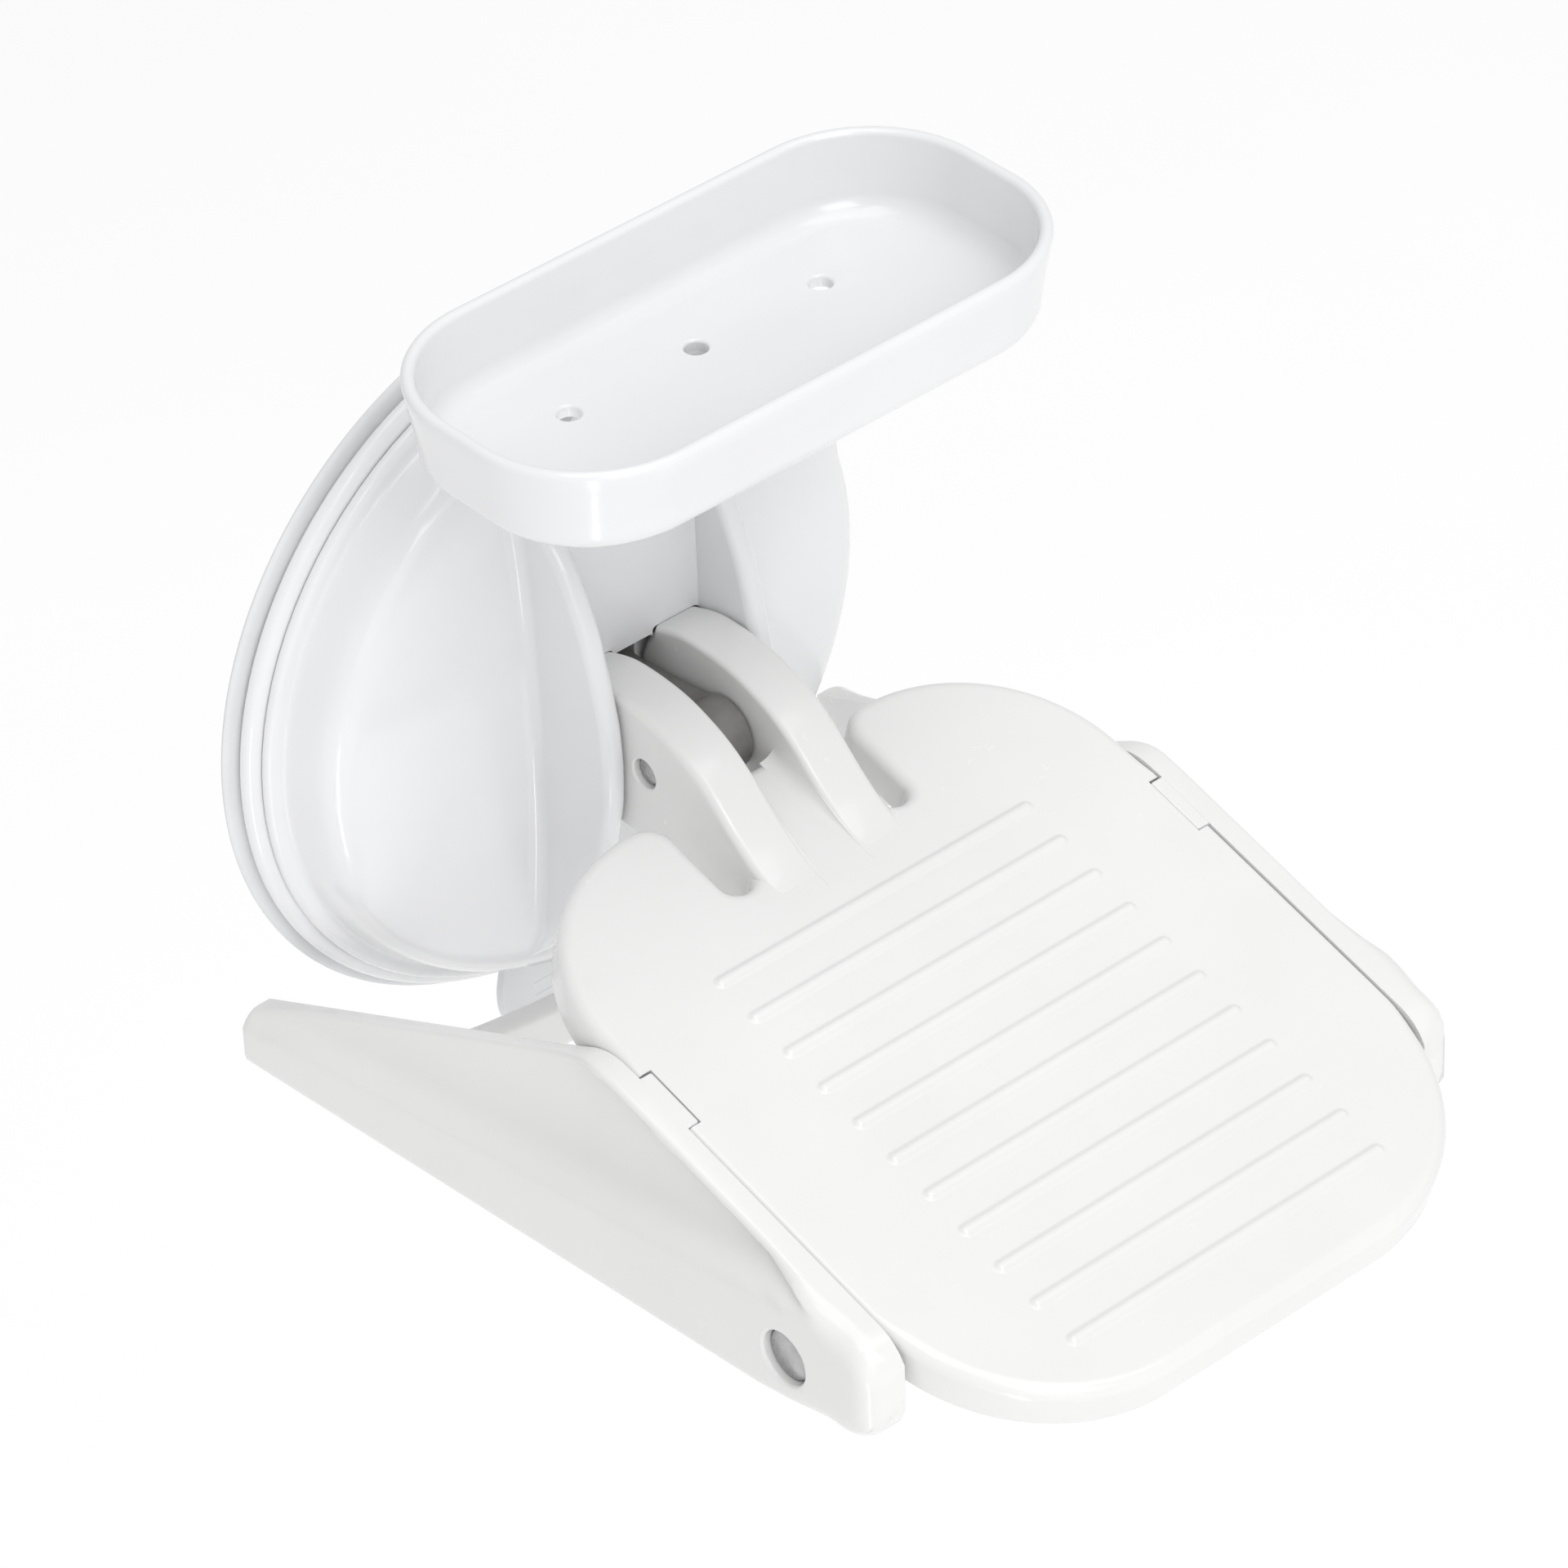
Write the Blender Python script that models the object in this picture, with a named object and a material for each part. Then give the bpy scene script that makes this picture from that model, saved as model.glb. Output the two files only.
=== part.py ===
"""Suction-mounted shower foot rest with a soap dish, modelled as separate pieces.

The wall is the plane y = 0 and the object stands out from it towards -Y, with X along the
wall and +Z up. The origin is the centre of the suction pad's wall face. "Depth" below means
the distance from the wall, so a point at depth d lies at y = -d.
"""

import math

import bmesh
import bpy
from mathutils import Vector

MM = 0.001
GAP = 0.3 * MM
RUNNING_GAP = 0.12 * MM
ROUND_STEPS = 56
PIN_STEPS = 28

# Suction pad
LIP_RADIUS = 65.0 * MM
LIP_THICKNESS = 1.3 * MM
PAD_CONTACT_RADIUS = 42.0 * MM
PAD_FLAT_RADIUS = 44.0 * MM
PAD_FACE_THICKNESS = 2.0 * MM
PAD_HOLLOW_DEPTH = 1.4 * MM
PAD_CENTRE_DEPTH = 3.7 * MM
TAB_NECK = 11.8 * MM
TAB_HALF_WIDTH = 13.0 * MM
TAB_REACH = 80.5 * MM
TAB_FRONT = 1.85 * MM
TAB_BACK = 0.05 * MM

# Clamp ring and dome cover
RING_RADIUS = 63.2 * MM
RING_INNER_RADIUS = 45.5 * MM
RING_BACK = 2.4 * MM
RING_FRONT = 4.9 * MM
DOME_RIM_RADIUS = 60.9 * MM
DOME_WALL_RADIUS = 57.9 * MM
DOME_SHOULDER_RADIUS = 56.2 * MM
DOME_CROWN = 21.8 * MM
SHELL = 2.6 * MM
CHANNEL_FLOOR = 24.8 * MM
CHANNEL_HALF_WIDTH = 14.0 * MM
CHEEK_OUTER = 18.2 * MM
CHEEK_TOP = 39.4 * MM
CHEEK_FLARE = 46.0 * MM
BLOCK_BACK = 15.2 * MM
BLOCK_TOP = 49.0 * MM
BLOCK_BOTTOM = -40.5 * MM
POCKET_TOP = 10.7 * MM
POCKET_BOTTOM = -19.6 * MM
POCKET_DEPTH = 4.85 * MM

# Ring screws
RING_SCREW_CIRCLE = 50.0 * MM
RING_SCREW_SHAFT = 1.4 * MM
RING_SCREW_HEAD = 2.8 * MM

# Hinge of the foot plate on the pull stud
HINGE_DEPTH = 42.75 * MM
HINGE_PIN_RADIUS = 2.5 * MM
HINGE_PIN_HALF_LENGTH = 12.6 * MM
EAR_INNER = 4.4 * MM
EAR_OUTER = 13.65 * MM
CAM_REACH = 22.5 * MM
CAM_DROP = 3.4 * MM
CAM_SWEEP = math.radians(36)

# Pull stud
ANCHOR_RADIUS = 30.0 * MM
ANCHOR_BACK = 8.5 * MM
STUD_HALF_WIDTH = 3.8 * MM
STUD_HALF_HEIGHT = 3.5 * MM
KNUCKLE_RADIUS = 6.5 * MM
KNUCKLE_HALF_WIDTH = 4.1 * MM

# Foot plate, measured along its slope from the first rib
PLATE_SLOPE = math.radians(16.44)
FIRST_RIB = Vector((-81.85 * MM, -9.32 * MM))
PLATE_HALF_WIDTH = 55.0 * MM
PLATE_BACK = -31.5 * MM
PLATE_FRONT = 94.6 * MM
PLATE_BACK_CORNER = 30.0 * MM
PLATE_FRONT_CORNER = 33.0 * MM
PLATE_THICKNESS = 8.0 * MM
DECK_THICKNESS = 3.0 * MM
PLATE_EDGE_ROUND = 1.2 * MM
PLATE_WALL = 6.0 * MM
WEB_BACK = -31.0 * MM
SLOT_OUTER = 19.2 * MM
SLOT_END = -12.3 * MM
LOBE_INNER_CORNER = 5.0 * MM
RIB_COUNT = 11
RIB_SPACING = 8.227 * MM
RIB_HALF_LENGTH = 32.2 * MM
RIB_HALF_WIDTH = 1.15 * MM
RIB_HEIGHT = 0.6 * MM
NOTCH_START = 7.0 * MM
NOTCH_START_BELOW = 5.2 * MM
NOTCH_END = 19.0 * MM
NOTCH_DEPTH = 2.4 * MM
CATCH_HEIGHT = 3.1 * MM
CATCH_STEP = 0.12 * MM

# Brace under the foot plate
WING_INNER = 55.4 * MM
WING_INNER_REAR = 59.4 * MM
WING_TOP_OUTER = 59.9 * MM
WING_REAR_OUTER = 66.0 * MM
WING_FRONT_OUTER = 62.3 * MM
WING_REAR_BOTTOM = Vector((-0.4 * MM, -53.5 * MM))
WING_REAR_TOP = Vector((-0.4 * MM, -44.3 * MM))
NOSE_FRONT = 72.5 * MM
WING_FRONT_Y = -0.145
WING_CORNER_Y = -0.079
NOSE_DEPTH = 19.4 * MM
NOSE_TOP_CORNER = 9.0 * MM
NOSE_BOTTOM_CORNER = 7.0 * MM
FOLD_FRONT = 57.4 * MM
CROSS_HALF_WIDTH = 60.6 * MM
CROSS_FRONT = 22.6 * MM
CROSS_BACK = 18.2 * MM
CROSS_TOP_MIDDLE = -57.2 * MM
CROSS_TOP_RISE = 9.6 * MM
CROSS_BOTTOM_MIDDLE = -66.5 * MM
CROSS_BOTTOM_RISE = 14.5 * MM

# Pins of the brace
BRACE_PIN_S = 53.4 * MM
BRACE_PIN_N = -14.4 * MM
BRACE_PIN_RADIUS = 2.5 * MM
BRACE_PIN_HEAD = 4.5 * MM
COUNTERBORE = 4.9 * MM
LUG_INNER = 48.0 * MM
LUG_OUTER = 55.0 * MM
LUG_RADIUS = 6.3 * MM

# Soap dish and its bracket
DISH_HALF_LENGTH = 54.4 * MM
DISH_HALF_WIDTH = 27.0 * MM
DISH_CORNER = 22.1 * MM
DISH_DEPTH = 52.4 * MM
DISH_TOP = 89.1 * MM
DISH_BOTTOM = 73.4 * MM
DISH_WALL = 2.2 * MM
DISH_FLOOR = 75.4 * MM
DRAIN_SPACING = 25.6 * MM
DRAIN_DEPTH = 43.8 * MM
DRAIN_RADIUS = 2.1 * MM
BRACKET_HALF_WIDTH = 13.0 * MM
DISH_SCREW_OFFSET = 9.5 * MM
DISH_SCREW_DEPTH = 53.0 * MM
DISH_BOSS_RADIUS = 3.6 * MM
BRACKET_TABLE_TOP = 69.6 * MM
BRACKET_TABLE_BOTTOM = 66.4 * MM
FOOT_SCREW_Z = 44.0 * MM
FOOT_BOTTOM = 39.6 * MM
FOOT_SCREW_OFFSET = 8.0 * MM
SMALL_SCREW_SHAFT = 1.3 * MM
SMALL_SCREW_HEAD = 2.7 * MM


def remove_everything():
    for obj in list(bpy.data.objects):
        bpy.data.objects.remove(obj, do_unlink=True)


def make_material(name, color, roughness, metallic=0.0):
    found = bpy.data.materials.new(name)
    found.use_nodes = True
    shader = found.node_tree.nodes["Principled BSDF"]
    shader.inputs["Base Color"].default_value = (*color, 1.0)
    shader.inputs["Roughness"].default_value = roughness
    shader.inputs["Metallic"].default_value = metallic
    return found


def add_mesh(name, verts, faces, material=None, triangles=False):
    """A new object from points and faces, with its faces turned outwards."""
    mesh = bpy.data.meshes.new(name)
    mesh.from_pydata([tuple(v) for v in verts], [], faces)
    work = bmesh.new()
    work.from_mesh(mesh)
    if triangles:
        bmesh.ops.triangulate(work, faces=work.faces)
    bmesh.ops.recalc_face_normals(work, faces=work.faces)
    work.to_mesh(mesh)
    work.free()
    obj = bpy.data.objects.new(name, mesh)
    bpy.context.scene.collection.objects.link(obj)
    if material:
        mesh.materials.append(material)
    mesh.shade_smooth()
    mesh.set_sharp_from_angle(angle=math.radians(35))
    return obj


def turned(name, profile, material=None, steps=ROUND_STEPS, centre=(0.0, 0.0)):
    """Turns (radius, depth) points about a line along Y through centre = (x, z)."""
    verts = []
    rings = []
    for radius, depth in profile:
        if radius == 0:
            rings.append([len(verts)])
            verts.append((centre[0], -depth, centre[1]))
            continue
        rings.append(list(range(len(verts), len(verts) + steps)))
        for i in range(steps):
            angle = 2 * math.pi * i / steps
            verts.append((centre[0] + radius * math.cos(angle), -depth, centre[1] + radius * math.sin(angle)))
    closed = profile[0][0] != 0
    pairs = zip(rings, rings[1:] + rings[:1] if closed else rings[1:])
    faces = []
    for lower, upper in pairs:
        for i in range(steps):
            j = (i + 1) % steps
            if len(lower) == 1:
                faces.append((lower[0], upper[i], upper[j]))
            elif len(upper) == 1:
                faces.append((lower[i], lower[j], upper[0]))
            else:
                faces.append((lower[i], lower[j], upper[j], upper[i]))
    return add_mesh(name, verts, faces, material)


def prism(name, outline, axis, low, high, material=None):
    """Extrudes an outline along an axis: (y, z) along X, (x, z) along Y or (x, y) along Z."""
    place = {
        "X": lambda a, b, c: (c, a, b),
        "Y": lambda a, b, c: (a, c, b),
        "Z": lambda a, b, c: (a, b, c),
    }[axis]
    verts = [place(a, b, level) for level in (low, high) for a, b in outline]
    count = len(outline)
    faces = [tuple(range(count)), tuple(range(count, 2 * count))]
    faces += [(i, (i + 1) % count, (i + 1) % count + count, i + count) for i in range(count)]
    return add_mesh(name, verts, faces, material)


def rod(name, radius, low, high, axis, centre, material=None, steps=PIN_STEPS):
    """A round bar along an axis, from low to high, centred on two coordinates."""
    return prism(name, arc(centre, radius, 0, 360, steps, closed=True), axis, low, high, material)


def box(name, low, high, material=None):
    outline = [(low[0], low[1]), (high[0], low[1]), (high[0], high[1]), (low[0], high[1])]
    return prism(name, outline, "Z", low[2], high[2], material)


def arc(centre, radius, start, end, steps, closed=False):
    """Points on an arc, with its angles in degrees. A closed arc leaves out its last point."""
    count = steps if closed else steps + 1
    points = []
    for i in range(count):
        angle = math.radians(start + (end - start) * i / steps)
        points.append((centre[0] + radius * math.cos(angle), centre[1] + radius * math.sin(angle)))
    return points


def rounded_rectangle(half_a, half_b, radius, steps=8, centre=(0.0, 0.0)):
    a, b = half_a - radius, half_b - radius
    corners = (((a, b), 0), ((-a, b), 90), ((-a, -b), 180), ((a, -b), 270))
    points = []
    for (ca, cb), start in corners:
        points += arc((centre[0] + ca, centre[1] + cb), radius, start, start + 90, steps)
    return points


def smooth_curve(points, steps):
    """Catmull-Rom points through the given ones."""
    found = []
    ends = [points[0]] + list(points) + [points[-1]]
    for i in range(len(points) - 1):
        p0, p1, p2, p3 = (Vector(p) for p in ends[i : i + 4])
        for k in range(steps):
            t = k / steps
            found.append(
                0.5 * (2 * p1 + (p2 - p0) * t + (2 * p0 - 5 * p1 + 4 * p2 - p3) * t**2
                       + (3 * p1 - p0 - 3 * p2 + p3) * t**3)
            )
    return found + [Vector(points[-1])]


def loft(name, loops, material=None):
    """Joins loops of equal length into a closed skin with flat ends."""
    count = len(loops[0])
    verts = [v for one in loops for v in one]
    faces = [tuple(range(count)), tuple(range(len(verts) - count, len(verts)))]
    for k in range(len(loops) - 1):
        base = k * count
        for i in range(count):
            j = (i + 1) % count
            faces.append((base + i, base + j, base + count + j, base + count + i))
    return add_mesh(name, verts, faces, material)


def boolean(target, tool, operation):
    """Adds a live Boolean and hides the tool it uses."""
    step = target.modifiers.new(tool.name, "BOOLEAN")
    step.operation = operation
    step.object = tool
    step.solver = "EXACT"
    tool.hide_render = True
    tool.display_type = "WIRE"


def cut(target, *tools):
    for tool in tools:
        boolean(target, tool, "DIFFERENCE")


def join(target, *tools):
    for tool in tools:
        boolean(target, tool, "UNION")


def plate_point(s, n):
    """The (y, z) of a point s along the foot plate from the first rib and n above its top."""
    along = Vector((-math.cos(PLATE_SLOPE), -math.sin(PLATE_SLOPE)))
    up = Vector((-math.sin(PLATE_SLOPE), math.cos(PLATE_SLOPE)))
    return FIRST_RIB + along * s + up * n


def to_plate(obj):
    """Tilts an object modelled flat, with its origin at the first rib, into the plate's place."""
    obj.location = (0.0, FIRST_RIB.x, FIRST_RIB.y)
    obj.rotation_euler.x = PLATE_SLOPE
    return obj


def parent_at(empty, *objects):
    bpy.context.view_layer.update()
    for obj in objects:
        obj.parent = empty
        obj.matrix_parent_inverse = empty.matrix_world.inverted()


def make_axis(name, location):
    empty = bpy.data.objects.new(name, None)
    empty.location = location
    empty.empty_display_size = 10 * MM
    bpy.context.scene.collection.objects.link(empty)
    return empty


def make_suction_pad(material):
    profile = [
        (LIP_RADIUS, 0.0),
        (LIP_RADIUS, LIP_THICKNESS * 0.7),
        (LIP_RADIUS - 0.8 * MM, LIP_THICKNESS),
        (LIP_RADIUS - 3.5 * MM, PAD_FACE_THICKNESS),
        (PAD_FLAT_RADIUS, PAD_FACE_THICKNESS),
        (38.0 * MM, 2.9 * MM),
        (31.0 * MM, PAD_CENTRE_DEPTH),
        (0.0, PAD_CENTRE_DEPTH),
    ]
    hollow = [
        (0.0, PAD_HOLLOW_DEPTH),
        (30.0 * MM, PAD_HOLLOW_DEPTH),
        (PAD_CONTACT_RADIUS, 0.0),
    ]
    outline = list(reversed(profile)) + list(reversed(hollow))
    pad = turned("suction_pad", outline, material)
    half = smooth_curve(
        [
            (-TAB_NECK, -56.0 * MM),
            (-TAB_NECK, -62.0 * MM),
            (-TAB_HALF_WIDTH, -69.5 * MM),
            (-TAB_NECK, -75.0 * MM),
            (-0.6 * TAB_NECK, -TAB_REACH + 1.3 * MM),
            (0.0, -TAB_REACH),
        ],
        4,
    )
    tab_outline = [(x, z) for x, z in half] + [(-x, z) for x, z in reversed(half[:-1])]
    join(pad, prism("pad_tab_shape", tab_outline, "Y", -TAB_FRONT, -TAB_BACK))
    return pad


def make_clamp_ring(material):
    ring = turned(
        "clamp_ring",
        [
            (RING_INNER_RADIUS, RING_BACK),
            (RING_RADIUS - 0.5 * MM, RING_BACK),
            (RING_RADIUS, RING_BACK + 0.4 * MM),
            (RING_RADIUS - 0.2 * MM, RING_FRONT - 0.9 * MM),
            (RING_RADIUS - 0.9 * MM, RING_FRONT - 0.2 * MM),
            (RING_RADIUS - 1.9 * MM, RING_FRONT),
            (RING_INNER_RADIUS, RING_FRONT),
        ],
        material,
    )
    return ring


def dome_profile():
    return [
        (DOME_RIM_RADIUS, RING_FRONT + GAP),
        (DOME_RIM_RADIUS - 0.1 * MM, 6.0 * MM),
        (DOME_RIM_RADIUS - 0.7 * MM, 6.8 * MM),
        (DOME_WALL_RADIUS + 0.3 * MM, 7.1 * MM),
        (DOME_WALL_RADIUS - 0.2 * MM, 7.6 * MM),
        (56.8 * MM, 12.6 * MM),
        (DOME_SHOULDER_RADIUS - 0.4 * MM, 14.4 * MM),
        (54.2 * MM, 16.2 * MM),
        (50.5 * MM, 17.7 * MM),
        (42.0 * MM, 19.4 * MM),
        (30.0 * MM, 20.8 * MM),
        (15.0 * MM, 21.6 * MM),
        (0.0, DOME_CROWN),
    ]


def dome_hollow():
    return [
        (0.0, DOME_CROWN - SHELL),
        (30.0 * MM, 20.6 * MM - SHELL),
        (44.0 * MM, 18.6 * MM - SHELL),
        (51.5 * MM, 16.0 * MM - SHELL),
        (53.6 * MM, 12.2 * MM),
        (54.6 * MM, RING_FRONT + GAP),
    ]


def cheek_outline():
    """The bell profile of a cheek rib, as (y, z), closed along the back of the channel block."""
    upper = [
        (-20.0 * MM, CHEEK_FLARE),
        (-24.4 * MM, 41.0 * MM),
        (-30.0 * MM, 34.2 * MM),
        (-34.6 * MM, 25.0 * MM),
        (-37.9 * MM, 13.0 * MM),
        (-CHEEK_TOP, 0.0),
    ]
    lower = [(y, -z) for y, z in reversed(upper[:-1])]
    front = smooth_curve(upper + lower, 3)
    return [(-BLOCK_BACK, CHEEK_FLARE)] + [tuple(p) for p in front] + [(-BLOCK_BACK, -CHEEK_FLARE)]


def make_dome_cover(material):
    outline = list(reversed(dome_profile())) + list(reversed(dome_hollow()))
    cover = turned("dome_cover", outline, material)
    block = box(
        "channel_block_shape",
        (-CHEEK_OUTER, -CHANNEL_FLOOR, BLOCK_BOTTOM),
        (CHEEK_OUTER, -BLOCK_BACK, BLOCK_TOP),
    )
    join(cover, block)
    for side, name in ((-1, "left"), (1, "right")):
        ends = sorted((side * CHANNEL_HALF_WIDTH, side * (CHEEK_OUTER + 0.1 * MM)))
        join(cover, prism(f"cheek_{name}_shape", cheek_outline(), "X", *ends))
    for side, name in ((-1, "left"), (1, "right")):
        edges = sorted((side * (EAR_INNER - GAP), side * (CHANNEL_HALF_WIDTH - 0.05 * MM)))
        pocket = box(
            f"ear_pocket_{name}_shape",
            (edges[0], -CHANNEL_FLOOR - 1 * MM, POCKET_BOTTOM),
            (edges[1], -CHANNEL_FLOOR + POCKET_DEPTH, POCKET_TOP),
        )
        cut(cover, pocket)
    stud_hole = box(
        "stud_hole_shape",
        (-STUD_HALF_WIDTH - 0.35 * MM, -CHANNEL_FLOOR - 1 * MM, -STUD_HALF_HEIGHT - 0.35 * MM),
        (STUD_HALF_WIDTH + 0.35 * MM, -BLOCK_BACK + 6 * MM, STUD_HALF_HEIGHT + 0.35 * MM),
    )
    cut(cover, stud_hole)
    for i in range(4):
        x, z = ring_screw_place(i)
        join(cover, rod(f"boss_{i}_shape", 3.6 * MM, -16.5 * MM, -RING_FRONT - GAP, "Y", (x, z)))
        cut(cover, rod(f"boss_hole_{i}_shape", RING_SCREW_SHAFT + GAP, -13.2 * MM, -3.0 * MM, "Y", (x, z), steps=16))
    for side in (-1, 1):
        hole = rod(
            f"foot_hole_{side}_shape", SMALL_SCREW_SHAFT + GAP, -CHANNEL_FLOOR - 1 * MM, -16.4 * MM, "Y",
            (side * FOOT_SCREW_OFFSET, FOOT_SCREW_Z), steps=16,
        )
        cut(cover, hole)
    return cover


def ring_screw_place(index):
    angle = math.radians(45 + 90 * index)
    return RING_SCREW_CIRCLE * math.cos(angle), RING_SCREW_CIRCLE * math.sin(angle)


def make_ring_screws(ring, material):
    screws = []
    for i in range(4):
        x, z = ring_screw_place(i)
        head_front = RING_BACK + 1.5 * MM
        screw = turned(
            f"ring_screw_{i + 1}",
            [
                (0.0, RING_BACK + 0.1 * MM),
                (RING_SCREW_HEAD, RING_BACK + 0.1 * MM),
                (RING_SCREW_HEAD, head_front),
                (RING_SCREW_SHAFT, head_front),
                (RING_SCREW_SHAFT, 11.6 * MM),
                (0.0, 12.6 * MM),
            ],
            material,
            steps=16,
            centre=(x, z),
        )
        screws.append(screw)
        sink = RING_BACK + 1.5 * MM + GAP
        cut(ring, rod(f"sink_{i}_shape", RING_SCREW_HEAD + GAP, -sink, -1 * MM, "Y", (x, z), steps=16))
        cut(ring, rod(f"ring_hole_{i}_shape", RING_SCREW_SHAFT + GAP, -6 * MM, -1 * MM, "Y", (x, z), steps=16))
    return screws


def make_pull_stud(material):
    stud = turned(
        "pull_stud",
        [
            (0.0, ANCHOR_BACK),
            (ANCHOR_RADIUS, ANCHOR_BACK),
            (ANCHOR_RADIUS, 10.6 * MM),
            (ANCHOR_RADIUS - 1.0 * MM, 11.2 * MM),
            (12.0 * MM, 11.6 * MM),
            (8.0 * MM, 13.4 * MM),
            (0.0, 13.4 * MM),
        ],
        material,
        steps=40,
    )
    shank = box(
        "shank_shape",
        (-STUD_HALF_WIDTH, -HINGE_DEPTH, -STUD_HALF_HEIGHT),
        (STUD_HALF_WIDTH, -11.0 * MM, STUD_HALF_HEIGHT),
    )
    eye = rod(
        "eye_shape", KNUCKLE_RADIUS, -KNUCKLE_HALF_WIDTH, KNUCKLE_HALF_WIDTH, "X", (-HINGE_DEPTH, 0.0), steps=32
    )
    join(stud, shank, eye)
    hole = rod(
        "eye_hole_shape", HINGE_PIN_RADIUS + RUNNING_GAP, -9 * MM, 9 * MM, "X", (-HINGE_DEPTH, 0.0)
    )
    cut(stud, hole)
    return stud


def plate_outline():
    """The foot plate's outline as (x, s), with its two open slots and rounded lobes."""
    slot_centre = (EAR_OUTER + SLOT_OUTER) / 2
    slot_radius = (SLOT_OUTER - EAR_OUTER) / 2
    right = [(EAR_OUTER, WEB_BACK)]
    right += arc((slot_centre, SLOT_END - slot_radius), slot_radius, 180, 0, 6)
    lobe = (SLOT_OUTER + LOBE_INNER_CORNER, PLATE_BACK + LOBE_INNER_CORNER)
    right += arc(lobe, LOBE_INNER_CORNER, 180, 270, 4)
    back_centre = (PLATE_HALF_WIDTH - PLATE_BACK_CORNER, PLATE_BACK + PLATE_BACK_CORNER)
    right += arc(back_centre, PLATE_BACK_CORNER, 272, 360, 9)
    front_centre = (PLATE_HALF_WIDTH - PLATE_FRONT_CORNER, PLATE_FRONT - PLATE_FRONT_CORNER)
    right += arc(front_centre, PLATE_FRONT_CORNER, 0, 90, 9)
    left = [(-x, s) for x, s in reversed(right)]
    return right + left


def ear_outline():
    """The side profile of an ear as (y, z) from the hinge pin.

    The tail that bears in the pocket is an involute: its reach towards the wall drops by
    CAM_DROP for each radian that the plate is lifted, which is how far the stud goes back.
    """
    steps = 6
    tail = []
    for i in range(steps + 1):
        angle = CAM_SWEEP * i / steps
        reach = CAM_REACH - CAM_DROP * angle
        tail.append(
            (
                reach * math.cos(angle) + CAM_DROP * math.sin(angle),
                reach * math.sin(angle) - CAM_DROP * math.cos(angle),
            )
        )
    top = [
        (17.9 * MM, 10.35 * MM),
        (13.6 * MM, 11.8 * MM),
        (9.6 * MM, 12.4 * MM),
        (3.0 * MM, 12.2 * MM),
        (-3.0 * MM, 11.1 * MM),
        (-10.0 * MM, 8.5 * MM),
        (-17.0 * MM, 3.9 * MM),
        (-23.6 * MM, -2.2 * MM),
        (-29.5 * MM, -8.2 * MM),
    ]
    under = [(-30.0 * MM, -17.0 * MM), (-22.0 * MM, -16.6 * MM), (-12.0 * MM, -14.2 * MM), (6.0 * MM, -13.4 * MM)]
    heel = [(16.0 * MM, -12.9 * MM), (20.6 * MM, -9.6 * MM)]
    return tail + [tuple(p) for p in smooth_curve(top, 2)] + under + heel


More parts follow.
